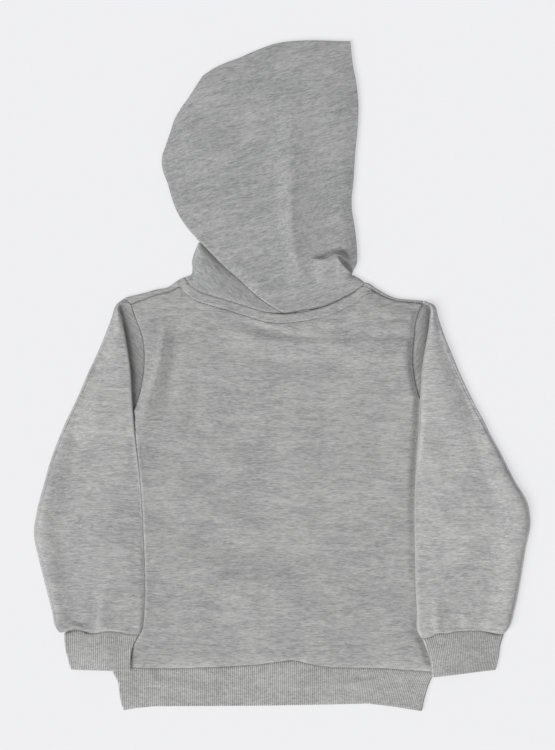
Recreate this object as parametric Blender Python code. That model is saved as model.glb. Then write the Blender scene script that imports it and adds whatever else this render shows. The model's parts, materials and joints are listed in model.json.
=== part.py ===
"""Toddler's pullover hoodie, age 2 to 3, laid flat with its back up.

The hood lies folded along its centre seam, and the sleeves are brought straight down over the sides
of the back. Each cut piece is one solid: a wall of cloth through a grid worked out from its edges.
Sizes are in millimetres, X to the right, Y up the garment towards the hood and Z up from the surface,
from the middle of the garment's lower edge. "Out" is the distance from X = 0 towards either side.
"""

import math
from collections import namedtuple
from functools import partial

import bmesh
import bpy
import numpy as np

MM = 0.001
CLOTH = 1.6  # thickness of the brushed fleece
GAP = 0.3  # between neighbouring pieces, at seams and between layers
LAYER = CLOTH + GAP  # from the middle of one layer of cloth to the next
TURN = LAYER / 2  # radius of a sharp fold, at the middle of the cloth
HALF = CLOTH / 2
MERGE = 0.01  # points closer than this are one point
TURN_CELLS = 4  # facets of a sharp fold
BAND_CELLS = 12  # cells across the plain layers of a ribbed band
BAND_ROWS = 3

LEFT, RIGHT = -1, 1

BACK_LOFT = 1.0  # how far the middle of the back stands off the front
SLEEVE_LOFT = 1.6
HOOD_LOFT = 2.2
NECK_BAND = 9.0  # width of the band sewn down below the neck seam
NECK_BAND_RISE = 0.5
RIB_PITCH = 2.0
RIB_RISE = 0.35
ROLL_COVER = 3.7  # how far the back rolls down over the top of the hem band
ROLL_LENGTH = 12.0  # length of the back that rises into the roll
ROLL_RISE = LAYER + 0.2  # how far it rises, so that its rolled edge clears the band below it
ROLL_ROWS = (1.0, 0.79, 0.58, 0.38)  # rows of the roll, as shares of its length, and where its top is level
ROLL_LEVEL = 0.62
CUFF_LINE = -258.0  # below this the sleeves climb on to the roll, over this length
CUFF_CLIMB = 18.0
SIDE_STEP = 13.5  # width over which a sleeve comes down from the body to the surface
SIDE_CLEAR = 1.5  # how far past the body's side it stays at full height
FRONT_SCOOP = 5.0  # how much deeper the front armhole is than the back one
SHORT_TUCK = 5.0  # a sleeve head tucked in less than this stands up towards its outer fold
OUTER_RISE = 0.4  # how far the outer fold of a sleeve head stands off the layer below
UNDERARM = (5.5, -1.0, -6.0)  # where the sleeve seam lies beside the body's side, in its first rows
SIDE_ROWS = (-210.0, -130.0)  # rows of the body panels below the underarm
SIDE_COLUMNS = (0.0, 12.0, 23.0, 33.0, 43.0)  # columns of the back beside its sides, then even ones
MIDDLE_INSET = 54.0
MIDDLE_COLUMNS = 13
FOLD_CLEAR = 12.0  # the back is flat this close to a sleeve's inner fold, and rises over the next length
FOLD_FADE = 9.0
NECK_FADE = 12.0

Arm = namedtuple("Arm", "seam seam_y outer outer_y fold sweep tuck")
Tube = namedtuple("Tube", "fold fold_y outer outer_y")
Ridge = namedtuple("Ridge", "x0 y0 x1 y1 width height")
Place = namedtuple("Place", "x y")
Strip = namedtuple("Strip", "seam_x seam_y fold_x fold_y")

# Sleeve heads, shoulder to underarm: the armhole seam, the outer edge, the inner fold beside the seam,
# how many degrees the cloth turns there, and how far it is tucked under the fold.
ARMS = {
    LEFT: [
        Arm(151.5, 71.5, 158.3, 78.4, 153.0, 20, 0.2),
        Arm(149.5, 66.0, 166.0, 72.0, 162.0, 90, 0.2),
        Arm(145.3, 55.0, 171.5, 57.0, 160.0, 150, 0.6),
        Arm(139.8, 40.0, 178.0, 40.0, 156.7, 180, 3.0),
        Arm(137.5, 22.0, 185.7, 22.0, 153.7, 180, 6.0),
        Arm(138.2, 3.0, 194.6, 3.0, 151.3, 180, 10.0),
        Arm(141.5, -15.5, 202.5, -15.5, 150.3, 180, 14.0),
        Arm(147.5, -33.0, 210.6, -33.0, 149.2, 180, 18.0),
        Arm(160.0, -46.0, 217.0, -46.0, 148.3, 180, 20.5),
        Arm(171.0, -55.5, 221.0, -55.5, 147.6, 180, 22.4),
    ],
    RIGHT: [
        Arm(140.0, 72.2, 142.2, 75.6, 141.0, 20, 0.1),
        Arm(137.0, 66.0, 151.8, 71.0, 146.5, 90, 0.2),
        Arm(133.4, 55.0, 156.5, 57.0, 146.8, 150, 0.3),
        Arm(131.7, 40.0, 162.3, 40.0, 144.5, 180, 1.5),
        Arm(130.1, 22.0, 169.6, 22.0, 141.2, 180, 4.5),
        Arm(131.2, 3.0, 177.6, 3.0, 138.5, 180, 9.0),
        Arm(135.0, -15.5, 186.3, -15.5, 137.5, 180, 13.5),
        Arm(141.5, -30.0, 193.5, -30.0, 136.5, 180, 16.5),
        Arm(149.0, -38.0, 197.8, -38.0, 136.0, 180, 18.8),
        Arm(157.0, -43.5, 201.0, -43.5, 135.8, 180, 20.2),
    ],
}

# Sleeves below the underarm, down to the cuff: inner and outer fold.
TUBES = {
    LEFT: [
        Tube(146.3, -67.0, 225.7, -67.0),
        Tube(144.2, -84.0, 232.0, -84.0),
        Tube(141.5, -108.5, 239.0, -108.5),
        Tube(139.8, -135.5, 246.0, -135.5),
        Tube(138.8, -157.5, 249.0, -157.5),
        Tube(137.7, -183.5, 244.0, -183.5),
        Tube(137.2, -213.5, 236.5, -213.5),
        Tube(138.2, -238.5, 230.2, -238.5),
        Tube(140.5, -252.0, 226.0, -251.5),
        Tube(143.5, -257.5, 218.7, -256.0),
    ],
    RIGHT: [
        Tube(135.2, -56.0, 207.0, -56.0),
        Tube(133.8, -78.5, 219.3, -78.5),
        Tube(132.8, -103.5, 232.0, -103.5),
        Tube(132.0, -128.5, 246.0, -128.5),
        Tube(132.0, -145.5, 248.4, -145.5),
        Tube(132.3, -173.5, 243.4, -173.5),
        Tube(132.8, -203.5, 238.5, -203.5),
        Tube(134.3, -235.5, 232.0, -235.5),
        Tube(135.8, -255.5, 226.0, -252.5),
        Tube(139.5, -261.5, 222.3, -257.5),
    ],
}

CUFFS = {
    LEFT: [
        Tube(143.7, -258.3, 218.5, -256.9),
        Tube(149.0, -268.5, 218.0, -270.0),
        Tube(151.5, -281.0, 215.0, -283.0),
        Tube(151.8, -294.5, 212.0, -294.0),
    ],
    RIGHT: [
        Tube(139.5, -262.3, 222.3, -258.4),
        Tube(144.0, -272.5, 220.0, -270.0),
        Tube(147.5, -285.5, 217.3, -281.0),
        Tube(149.2, -301.0, 214.0, -294.2),
    ],
}

CUFF_SEAM = {LEFT: 150.0, RIGHT: 145.0}  # how far out the underarm seam is at the cuff
SIDE_SEAM = {LEFT: (171.0, 172.0, 171.0), RIGHT: (157.0, 158.0, 155.5)}  # out: underarm, waist, hem

# Shoulder seams on the back, with the fold where the front comes over the top, armhole to neck.
SHOULDERS = {
    LEFT: [
        Strip(-151.5, 71.5, -157.6, 77.8),
        Strip(-137.0, 77.0, -141.0, 82.0),
        Strip(-123.0, 82.2, -125.5, 86.4),
        Strip(-111.5, 85.0, -114.0, 88.7),
        Strip(-102.5, 89.0, -105.6, 94.3),
        Strip(-94.5, 92.0, -98.0, 97.9),
    ],
    RIGHT: [
        Strip(140.0, 72.2, 141.0, 74.5),
        Strip(126.0, 73.6, 126.4, 76.1),
        Strip(112.5, 75.4, 113.3, 77.8),
        Strip(101.6, 79.4, 103.6, 81.5),
        Strip(92.7, 84.0, 94.6, 86.6),
        Strip(80.5, 89.6, 83.3, 92.6),
    ],
}

# Back neck seam from the left shoulder to the nape, and on to the right shoulder.
NAPE = Place(1.5, 62.2)
NECK_LEFT = [Place(-94.5, 92.0), Place(-84.0, 85.0), Place(-69.0, 79.8), Place(-52.0, 75.0),
             Place(-33.0, 69.0), Place(-15.0, 63.6), NAPE]
NECK_RIGHT = [NAPE, Place(19.0, 64.3), Place(37.0, 67.9), Place(51.0, 72.8), Place(61.0, 77.8),
              Place(71.0, 83.2), Place(80.5, 89.6)]

# Front neck seam, under the hood.
CENTRE_FRONT = Place(-7.0, 40.5)
FRONT_NECK_LEFT = [Place(-98.0, 97.9), Place(-90.0, 80.0), Place(-76.0, 64.0), Place(-58.0, 52.5),
                   Place(-40.0, 45.5), Place(-23.0, 41.5), CENTRE_FRONT]
FRONT_NECK_RIGHT = [CENTRE_FRONT, Place(10.0, 41.5), Place(27.0, 46.0), Place(44.0, 53.5), Place(60.0, 64.5),
                    Place(73.5, 77.5), Place(83.3, 92.6)]

# Lower edge of the back, where it rolls over the hem band, and the band's own lower edge.
ROLL_EDGE = [Place(-172.0, -291.8), Place(-150.0, -291.5), Place(-114.0, -292.4), Place(-70.0, -291.2),
             Place(-23.0, -288.5), Place(-6.0, -286.0), Place(12.0, -284.0), Place(24.0, -287.4),
             Place(46.0, -291.0), Place(101.0, -292.2), Place(147.0, -295.5), Place(158.0, -296.0)]
HEM_EDGE = [Place(-158.0, -334.5), Place(-147.0, -332.4), Place(-128.0, -330.6), Place(-23.0, -330.0),
            Place(46.0, -328.9), Place(85.5, -327.9), Place(111.0, -330.9), Place(139.5, -335.5)]
HEM_SIDES = {LEFT: [Place(-171.0, -288.0), Place(-168.0, -300.0), Place(-162.5, -316.0), Place(-158.0, -334.5)],
             RIGHT: [Place(155.0, -292.0), Place(148.5, -303.0), Place(143.0, -319.0), Place(139.5, -335.5)]}

# Hood, lying on its left half. The centre seam runs from the nape up the diagonal to the notch and
# round the outline to the peak; the face opening runs back down the right side.
NOTCH = Place(-84.0, 135.5)
PEAK = Place(68.0, 334.9)
DIAGONAL = [NAPE, Place(-11.0, 69.5), Place(-22.0, 77.0), Place(-33.0, 86.5), Place(-44.0, 97.0),
            Place(-60.0, 111.0), NOTCH]
HOOD_BACK = [NOTCH, Place(-97.0, 150.5), Place(-107.0, 167.5), Place(-114.5, 191.5), Place(-121.0, 212.0),
             Place(-113.5, 239.0), Place(-107.0, 258.5), Place(-93.5, 278.5), Place(-80.0, 300.5)]
HOOD_TOP = [Place(-80.0, 300.5), Place(-64.0, 310.5), Place(-48.0, 316.5), Place(-27.0, 325.5),
            Place(-4.0, 333.3), Place(14.0, 335.3), PEAK]
OPENING = [Place(71.0, 101.5), Place(74.5, 114.0), Place(74.5, 128.0), Place(72.0, 150.5), Place(69.0, 171.5),
           Place(71.0, 194.5), Place(73.0, 225.5), Place(75.0, 246.5), Place(76.0, 269.5), Place(74.5, 289.0),
           Place(70.0, 314.5), PEAK]
HOOD_SIDE_FOLD = [Place(-97.6, 98.3), Place(-90.2, 102.6), Place(-91.0, 112.0), Place(-84.6, 133.5)]
HOOD_BASE_FOLD = [Place(83.2, 93.0), Place(77.0, 97.6), Place(71.0, 101.5)]
HOOD_SIDE_BULGE = (-1.0, 0.05)  # the way each of the two folds points
HOOD_BASE_BULGE = (0.58, 0.81)
HOOD_UNDERLAP = 1.2  # how far the half underneath stays inside the outline
HOOD_FLAP = (8.0, 5.0)  # from the centre front to the top of the turned-under base
HOOD_HIDDEN = [Place(24.0, 71.0), Place(46.0, 88.0), Place(62.0, 103.0), Place(67.0, 110.0)]
HOOD_MIDDLE = Place(-20.0, 220.0)
HOOD_FADE = 0.12  # share of the hood's width over which its edges come down
HOOD_TOP_FADE = 0.08
HOOD_BACK_POINTS, HOOD_TOP_POINTS = 15, 13
DIAGONAL_ROWS = 7

# The largest soft folds.
BACK_FOLDS = [
    Ridge(-119, 46, -130, -14, 6, 1.6),
    Ridge(-131, -14, -137, -38, 6, 1.2),
    Ridge(-30, 33, 110, 31, 9, 1.3),
    Ridge(-44, 53, 16, 41, 5, -0.9),
    Ridge(97, 48, 128, 53, 5, 0.9),
    Ridge(-90, -90, 60, -120, 22, 0.9),
    Ridge(20, -190, 110, -175, 20, 0.8),
    Ridge(103, -282, 132, -279, 6, 1.4),
]
HOOD_FOLDS = [
    Ridge(9, 270, 2, 200, 10, 2.4),
    Ridge(2, 200, 2, 140, 9, 2.2),
    Ridge(18, 190, 14, 112, 7, -1.8),
    Ridge(-70, 128, -20, 86, 9, 2.6),
    Ridge(-20, 86, 10, 68, 7, 1.4),
    Ridge(52, 122, 70, 104, 7, 3.4),
    Ridge(52, 122, 36, 112, 6, 2.6),
    Ridge(-60, 250, -75, 190, 22, 1.2),
]

COLOURS = {"body": (0.372, 0.376, 0.367, 1), "hood": (0.340, 0.345, 0.340, 1), "rib": (0.384, 0.388, 0.378, 1)}


def level(layer):
    """Height of the middle of the cloth in a layer, counted from the surface."""
    return HALF + layer * LAYER


def ease(share):
    """Smooth step from 0 to 1."""
    share = np.clip(share, 0, 1)
    return share * share * (3 - 2 * share)


def swell(share, power=0.5):
    """Smooth rise from 0 to 1 in the middle and back to 0."""
    return np.sin(np.pi * np.clip(share, 0, 1)) ** power


def line(points, count):
    """Evenly spaced places on a smooth curve through the points."""
    points = np.array(points, float)
    reach = np.concatenate(([0], np.cumsum(np.linalg.norm(np.diff(points, axis=0), axis=1))))
    slope = np.gradient(points, reach, axis=0)
    at = np.linspace(0, reach[-1], 40 * len(points))
    left = np.clip(np.searchsorted(reach, at, side="right") - 1, 0, len(reach) - 2)
    span = (reach[left + 1] - reach[left])[:, None]
    t = (at - reach[left])[:, None] / span
    curve = ((2 * t**3 - 3 * t**2 + 1) * points[left] + (t**3 - 2 * t**2 + t) * span * slope[left]
             + (3 * t**2 - 2 * t**3) * points[left + 1] + (t**3 - t**2) * span * slope[left + 1])
    length = np.concatenate(([0], np.cumsum(np.linalg.norm(np.diff(curve, axis=0), axis=1))))
    even = np.linspace(0, length[-1], count)
    return np.column_stack([np.interp(even, length, curve[:, k]) for k in (0, 1)])


def split(points, times):
    """The same polyline with each of its stretches cut into equal parts."""
    points = np.array(points, float)
    old = np.arange(len(points))
    new = np.linspace(0, len(points) - 1, (len(points) - 1) * times + 1)
    return np.column_stack([np.interp(new, old, points[:, k]) for k in (0, 1)])


def shares(edge):
    """How far along an edge each of its points lies, from 0 to 1."""
    reach = np.concatenate(([0], np.cumsum(np.linalg.norm(np.diff(edge, axis=0), axis=1))))
    return reach / reach[-1]


def patch(bottom, top, left, right):
    """Grid of places between four edges that meet at their ends; rows run from left to right."""
    bottom, top, left, right = (np.array(edge, float)[:, :2] for edge in (bottom, top, left, right))
    u = ((shares(bottom) + shares(top)) / 2)[None, :, None]
    v = ((shares(left) + shares(right)) / 2)[:, None, None]
    from_left = left[:, None] - (1 - v) * left[0] - v * left[-1]
    from_right = right[:, None] - (1 - v) * right[0] - v * right[-1]
    return (1 - v) * bottom[None] + v * top[None] + (1 - u) ** 2 * from_left + u**2 * from_right


def at_height(places, height):
    """Places of the middle of the cloth, at one height or at a height for each."""
    height = np.broadcast_to(height, places.shape[:-1])
    return np.concatenate([places, height[..., None]], axis=-1)


def ridges(places, table):
    """Height that the soft folds of a table add at each place."""
    x, y = places[..., 0], places[..., 1]
    rise = np.zeros_like(x)
    for fold in table:
        run = np.array([fold.x1 - fold.x0, fold.y1 - fold.y0], float)
        share = np.clip(((x - fold.x0) * run[0] + (y - fold.y0) * run[1]) / run.dot(run), 0, 1)
        away = np.hypot(x - fold.x0 - share * run[0], y - fold.y0 - share * run[1])
        rise += fold.height * np.exp(-(away / fold.width) ** 2)
    return rise


def turn_over(lower, bulge, radius, cells):
    """Rows of a half turn from each point of a lower edge up to the layer above it."""
    rows = []
    for step in range(cells + 1):
        angle = math.pi * step / cells
        shift = bulge * radius * math.sin(angle)
        rise = np.full((len(lower), 1), radius * (1 - math.cos(angle)))
        rows.append(lower + np.concatenate([shift, rise], axis=1))
    return np.array(rows)


class Cloth:
    """The middle surface of one piece of cloth, made of grids that share their edges."""

    def __init__(self):
        self.mesh = bmesh.new()
        self.relief = self.mesh.verts.layers.float.new("relief")

    def add(self, grid, relief=None):
        """Add a grid of points; the cloth's outer side is where its rows and columns wind to the left."""
        rows, columns = grid.shape[:2]
        verts = [[self.mesh.verts.new(grid[i, j]) for j in range(columns)] for i in range(rows)]
        if relief is not None:
            for i in range(rows):
                for j in range(columns):
                    verts[i][j][self.relief] = relief[i, j]
        for i in range(rows - 1):
            for j in range(columns - 1):
                self.mesh.faces.new((verts[i][j], verts[i][j + 1], verts[i + 1][j + 1], verts[i + 1][j]))

    def wall(self):
        """Give the cloth its thickness, as one closed mesh."""
        middle = self.mesh
        bmesh.ops.remove_doubles(middle, verts=middle.verts, dist=MERGE)
        bmesh.ops.dissolve_degenerate(middle, edges=middle.edges, dist=MERGE)
        middle.normal_update()
        solid = bmesh.new()
        outer, inner = {}, {}
        for vert in middle.verts:
            facing = [vert.normal.dot(face.normal) for face in vert.link_faces]
            reach = HALF / max(0.7, sum(facing) / len(facing))
            outer[vert] = solid.verts.new(vert.co + vert.normal * (reach + vert[self.relief]))
            inner[vert] = solid.verts.new(vert.co - vert.normal * reach)
        for face in middle.faces:
            solid.faces.new([outer[vert] for vert in face.verts])
            solid.faces.new([inner[vert] for vert in reversed(face.verts)])
            for loop in face.loops:
                if loop.edge.is_boundary:
                    start, end = loop.vert, loop.link_loop_next.vert
                    solid.faces.new((outer[end], outer[start], inner[start], inner[end]))
        middle.free()
        return solid


def build_object(name, solid, colour):
    """Turn a closed mesh in millimetres into a named object in metres with its own material."""
    for vert in solid.verts:
        vert.co.z = max(vert.co.z, 0.0)
    bmesh.ops.scale(solid, vec=(MM, MM, MM), verts=solid.verts)
    bmesh.ops.recalc_face_normals(solid, faces=solid.faces)
    mesh = bpy.data.meshes.new(name)
    solid.to_mesh(mesh)
    solid.free()
    mesh.shade_smooth()
    mesh.set_sharp_from_angle(angle=math.radians(50))
    material = bpy.data.materials.new(name)
    material.use_nodes = True
    surface = material.node_tree.nodes["Principled BSDF"]
    surface.inputs["Base Color"].default_value = COLOURS[colour]
    surface.inputs["Roughness"].default_value = 0.9
    surface.inputs["Metallic"].default_value = 0.0
    mesh.materials.append(material)
    piece = bpy.data.objects.new(name, mesh)
    bpy.context.scene.collection.objects.link(piece)


def side_out(side, y):
    """How far out the body's side seam lies at a height."""
    top = ARMS[side][-1].seam_y
    return np.interp(-np.asarray(y, float), [-top, 180, 285], SIDE_SEAM[side])


def fold_out(side, y):
    """How far out a sleeve's inner fold lies at a height."""
    rows = [(arm.seam_y, arm.fold) for arm in ARMS[side][1:]]
    rows += [(tube.fold_y, tube.fold) for tube in TUBES[side]]
    heights, outs = zip(*rows[::-1])
    return np.interp(y, heights, outs)


def lying(side, out, y):
    """Height of the lowest layer of a sleeve: on the body, and down on the surface beside it."""
    over = level(2) + (ROLL_RISE + GAP / 3) * ease((CUFF_LINE - y) / CUFF_CLIMB)
    return level(0) + (over - level(0)) * ease((side_out(side, y) + SIDE_CLEAR + SIDE_STEP - out) / SIDE_STEP)


def side_edge(side, scoop=0.0):
    """A side of the body panels from hem to shoulder: side seam, then armhole."""
    arms = ARMS[side]
    edge = [(side_out(side, y), y) for y in SIDE_ROWS]
    for k, arm in enumerate(arms[::-1]):
        edge.append((arm.seam - scoop * math.sin(math.pi * k / (len(arms) - 1)), arm.seam_y))
    return [(side * out, y) for out, y in edge]


def hem_line(x):
    """Where the back's lower edge is sewn to the hem band, hidden under the roll."""
    xs, ys = zip(*ROLL_EDGE)
    return np.interp(x, xs, ys) + ROLL_COVER


def back_columns():
    """X of the back's columns along its lower edge."""
    left = SIDE_SEAM[LEFT][2]
    right = SIDE_SEAM[RIGHT][2]
    sides = np.array(SIDE_COLUMNS)
    middle = np.linspace(MIDDLE_INSET - left, right - MIDDLE_INSET, MIDDLE_COLUMNS)
    return np.concatenate([sides - left, middle, right - sides[::-1]])


def make_back():
    """Back panel: its folds, its neck band and the roll over the hem band."""
    columns = back_columns()
    edge_y = np.interp(columns, *zip(*ROLL_EDGE))
    start = np.column_stack([columns, edge_y + ROLL_LENGTH])
    left = [start[0]] + side_edge(LEFT)
    right = [start[-1]] + side_edge(RIGHT)
    shoulder_left = [(strip.seam_x, strip.seam_y) for strip in SHOULDERS[LEFT]]
    shoulder_right = [(strip.seam_x, strip.seam_y) for strip in SHOULDERS[RIGHT]][::-1]
    top = shoulder_left + NECK_LEFT[1:] + NECK_RIGHT[1:] + shoulder_right[1:]
    grid = patch(start, top, left, right)
    band_row = grid[-1] + (0, -NECK_BAND)
    grid = np.concatenate([grid[:-2], band_row[None] - (0, 0.7), band_row[None], grid[-1:]])
    grid[-3:-1, 0] = np.array(left[-2]) + [[0.4, -1.0], [0, 0]]
    grid[-3:-1, -1] = np.array(right[-2]) + [[-0.33, -1.0], [0, 0]]
    x, y = grid[..., 0], grid[..., 1]
    clear = ease((x + fold_out(LEFT, y) - FOLD_CLEAR) / FOLD_FADE)
    clear = clear * ease((fold_out(RIGHT, y) - FOLD_CLEAR - x) / FOLD_FADE)
    below = ease((grid[-1, :, 1][None] - y - 1) / NECK_FADE)
    height = level(1) + clear * below * np.maximum(BACK_LOFT + ridges(grid, BACK_FOLDS), 0)
    height[0] = level(1)
    cloth = Cloth()
    relief = np.zeros(x.shape)
    neck = (grid[-1, :, 0] > -96) & (grid[-1, :, 0] < 82)
    relief[-2:, neck] = NECK_BAND_RISE
    cloth.add(at_height(grid, height), relief)
    cloth.add(roll_rows(columns, edge_y)[::-1])
    build_object("back", cloth.wall(), "body")


def roll_rows(columns, edge_y):
    """Rows of the back's lower edge, from where it starts to rise to its rolled end on the hem band."""
    profile = [(ROLL_LENGTH * part, ROLL_RISE * ease((1 - part) / ROLL_LEVEL)) for part in ROLL_ROWS]
    for step in range(4):
        angle = math.pi / 2 * step / 3
        profile.append((HALF + TURN * (1 - math.sin(angle)), ROLL_RISE - TURN * (1 - math.cos(angle))))
    rows = [np.column_stack([columns, edge_y + up]) for up, rise in profile]
    return np.array([at_height(row, level(1) + rise) for row, (up, rise) in zip(rows, profile)])


def front_hem():
    """The front's lower edge, from left to right."""
    columns = back_columns()
    ends = hem_line(columns[[0, -1]])
    return np.column_stack([columns, np.interp(columns, columns[[0, -1]], ends) + GAP])


def make_front():
    """Front panel, flat on the surface, with its shoulders folded over the top to the shoulder seams."""
    folds = {side: np.array([(strip.fold_x, strip.fold_y) for strip in SHOULDERS[side]]) for side in SHOULDERS}
    bulges = {side: shoulder_bulge(side) for side in SHOULDERS}
    inner = {side: folds[side] - bulges[side] * TURN for side in SHOULDERS}
    left = [front_hem()[0]] + side_edge(LEFT, FRONT_SCOOP)[:-1] + [tuple(inner[LEFT][0])]
    right = [front_hem()[-1]] + side_edge(RIGHT, FRONT_SCOOP)[:-1] + [tuple(inner[RIGHT][0])]
    neck = FRONT_NECK_LEFT[1:] + FRONT_NECK_RIGHT[1:-1]
    top = np.concatenate([inner[LEFT], neck, inner[RIGHT][::-1]])
    cloth = Cloth()
    grid = at_height(patch(front_hem(), top, left, right), level(0))
    cloth.add(grid[:, ::-1])
    for side in SHOULDERS:
        lower = at_height(inner[side], level(0))
        rows = turn_over(lower, bulges[side], TURN, 4)
        seam = np.array([(strip.seam_x, strip.seam_y) for strip in SHOULDERS[side]])
        seam = seam + bulges[side] * GAP
        last = at_height(seam, level(1))
        rows = np.concatenate([rows, last[None]])
        cloth.add(rows if side == RIGHT else rows[:, ::-1])
    build_object("front", cloth.wall(), "body")


def shoulder_bulge(side):
    """Direction across a shoulder's fold, away from the garment, at each of its points."""
    strips = SHOULDERS[side]
    across = np.array([(strip.fold_x - strip.seam_x, strip.fold_y - strip.seam_y) for strip in strips])
    return across / np.linalg.norm(across, axis=1)[:, None]


def arc(start, heading, sweep, radius, cells):
    """Points on an arc that leaves a start in a heading; a positive sweep turns upwards from outwards."""
    points = []
    for step in range(1, cells + 1):
        angle = sweep * step / cells
        turned = heading + angle
        sign = 1 if sweep > 0 else -1
        points.append((start[0] + sign * radius * (math.sin(turned) - math.sin(heading)),
                       start[1] - sign * radius * (math.cos(turned) - math.cos(heading))))
    return points


def head_section(arm, front):
    """Section of a sleeve head: from the back armhole, under the fold, over the top and round to the front."""
    sweep = math.radians(arm.sweep)
    first = arc((0, 0), 0, sweep, TURN, 3)
    straight = (first[-1][0] + arm.tuck * math.cos(sweep), first[-1][1] + arm.tuck * math.sin(sweep))
    second = arc(straight, sweep, -sweep, TURN, 4)
    nearest = min(point[0] for point in second)
    if arm.sweep <= 90:
        nearest = straight[0]
    begin = max(arm.fold + HALF - nearest, arm.seam + GAP + 0.3)
    path = [(s, level(1)) for s in np.linspace(arm.seam + GAP, begin, 4)]
    path += [(begin + s, level(1) + z) for s, z in first]
    middle = ((first[-1][0] + straight[0]) / 2, (first[-1][1] + straight[1]) / 2)
    path += [(begin + s, level(1) + z) for s, z in (middle, straight)]
    path += [(begin + s, level(1) + z) for s, z in second]
    top_s, top_z = path[-1]
    reach = arm.outer - HALF
    standing = (top_z - level(1)) / LAYER if arm.tuck < SHORT_TUCK else 0.0
    end_z = min(top_z, level(1) + standing + OUTER_RISE)
    radius = (end_z - level(0)) / 2
    end_s = reach - radius
    drop_from = begin + TURN + CLOTH + GAP
    run = np.linspace(top_s, end_s, 9)[1:]
    if end_s <= drop_from + 1:
        drop_from = top_s
    fall = ease((run - drop_from) / (end_s - drop_from))
    path += [(s, top_z + (end_z - top_z) * f) for s, f in zip(run, fall)]
    path += arc(path[-1], 0, -math.pi, radius, 4)
    path += [(s, level(0)) for s in np.linspace(end_s, min(end_s - GAP, front), 7)[1:]]
    share = [(s - arm.seam) / max(arm.outer - arm.seam, 1) for s, z in path]
    return [(s, arm.seam_y + (arm.outer_y - arm.seam_y) * part, z) for (s, z), part in zip(path, share)]


def stretches(stops, cells):
    """Distances along stops, with each stretch between two stops cut into its number of cells."""
    run = [stops[0]]
    for near, far, parts in zip(stops, stops[1:], cells):
        run += list(np.linspace(near, far, parts + 1)[1:])
    return run


def tube_section(side, tube, seam):
    """Section of a sleeve below the underarm: from the underarm seam round its inner and outer folds."""
    def height_y(out):
        part = (out - tube.fold) / (tube.outer - tube.fold)
        return tube.fold_y + (tube.outer_y - tube.fold_y) * part

    inner = tube.fold + HALF + TURN
    edge = float(side_out(side, tube.fold_y)) + SIDE_CLEAR
    down = [edge + SIDE_STEP, edge + SIDE_STEP / 2, edge]
    under = stretches([seam, edge, inner], [6, 2]) if seam > edge else np.linspace(seam, inner, 9)
    path = [(s, lying(side, s, height_y(s))) for s in under]
    bottom = path[-1]
    path += arc(bottom, math.pi, -math.pi, TURN, 4)
    outer = tube.outer - HALF - TURN
    run = stretches([inner] + down[::-1] + [outer], [4, 1, 1, 2])[1:]
    path += [(s, lying(side, s, height_y(s)) + LAYER) for s in run]
    path += arc(path[-1], 0, -math.pi, TURN, 4)
    if seam > edge:
        back = stretches([outer, down[0], seam + GAP], [3, 3])
    else:
        back = stretches([outer] + down + [seam + GAP], [3, 1, 1, 1])
    path += [(s, lying(side, s, height_y(s))) for s in back[1:]]
    return [(s, height_y(s), z) for s, z in path]


def make_sleeve(side, name):
    """One sleeve: its head sewn round the armhole, and the tube down to the cuff."""
    arms, tubes = ARMS[side], TUBES[side]
    rows = []
    for k, arm in enumerate(arms):
        front = arm.seam + GAP - FRONT_SCOOP * math.sin(math.pi * k / (len(arms) - 1)) if k else arm.outer
        rows.append(head_section(arm, front))
    side_at_top = SIDE_SEAM[side][0]
    seams = [side_at_top + offset for offset in UNDERARM[:-1]]
    seams += list(np.linspace(side_at_top + UNDERARM[-1], CUFF_SEAM[side], len(tubes) - 2))
    for tube, seam in zip(tubes, seams):
        rows.append(tube_section(side, tube, seam))
    grid = np.array(rows)
    grid[..., 0] *= side
    grid[0, :, 1] -= 1.5 * GAP
    share = np.linspace(0, 1, 10)[1:-1]
    top_layer = slice(13, 21)
    loft = SLEEVE_LOFT * swell(share)[None] * swell(np.linspace(0, 1, len(rows)), 0.6)[:, None]
    grid[:, top_layer, 2] += loft
    cloth = Cloth()
    cloth.add(grid[:, ::-side])
    build_object(name, cloth.wall(), "body")


def ribbed_ring(sections):
    """A knitted band, open at both ends: a plain inner loop, and an outer one with ribs on the upper layer."""
    solid = bmesh.new()
    first, last = TURN_CELLS, TURN_CELLS + BAND_CELLS
    widest = np.array(sections[0])
    ribs = int(round(np.linalg.norm(widest[last] - widest[first]) / RIB_PITCH))
    at = np.linspace(0, BAND_CELLS, 2 * ribs + 1)
    outer_loops, inner_loops = [], []
    for middle in np.array(sections):
        ahead = np.roll(middle, -1, axis=0) - np.roll(middle, 1, axis=0)
        normal = np.column_stack([ahead[:, 2], np.zeros(len(middle)), -ahead[:, 0]])
        normal /= np.linalg.norm(normal, axis=1)[:, None]
        outer, inner = middle + normal * HALF, middle - normal * HALF
        cells = np.arange(BAND_CELLS + 1)
        upper = np.column_stack([np.interp(at, cells, outer[first:last + 1, k]) for k in range(3)])
        upper[1:-1:2, 2] += RIB_RISE
        ribbed = np.concatenate([outer[:first], upper, outer[last + 1:]])
        outer_loops.append([solid.verts.new(p) for p in ribbed])
        inner_loops.append([solid.verts.new(p) for p in inner])
    for loops in (outer_loops, inner_loops):
        for low, high in zip(loops, loops[1:]):
            for j in range(len(low)):
                k = (j + 1) % len(low)
                solid.faces.new((low[j], low[k], high[k], high[j]))
    for end in (0, -1):
        close_end(solid, outer_loops[end], inner_loops[end], 2 * ribs)
    return solid


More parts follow.
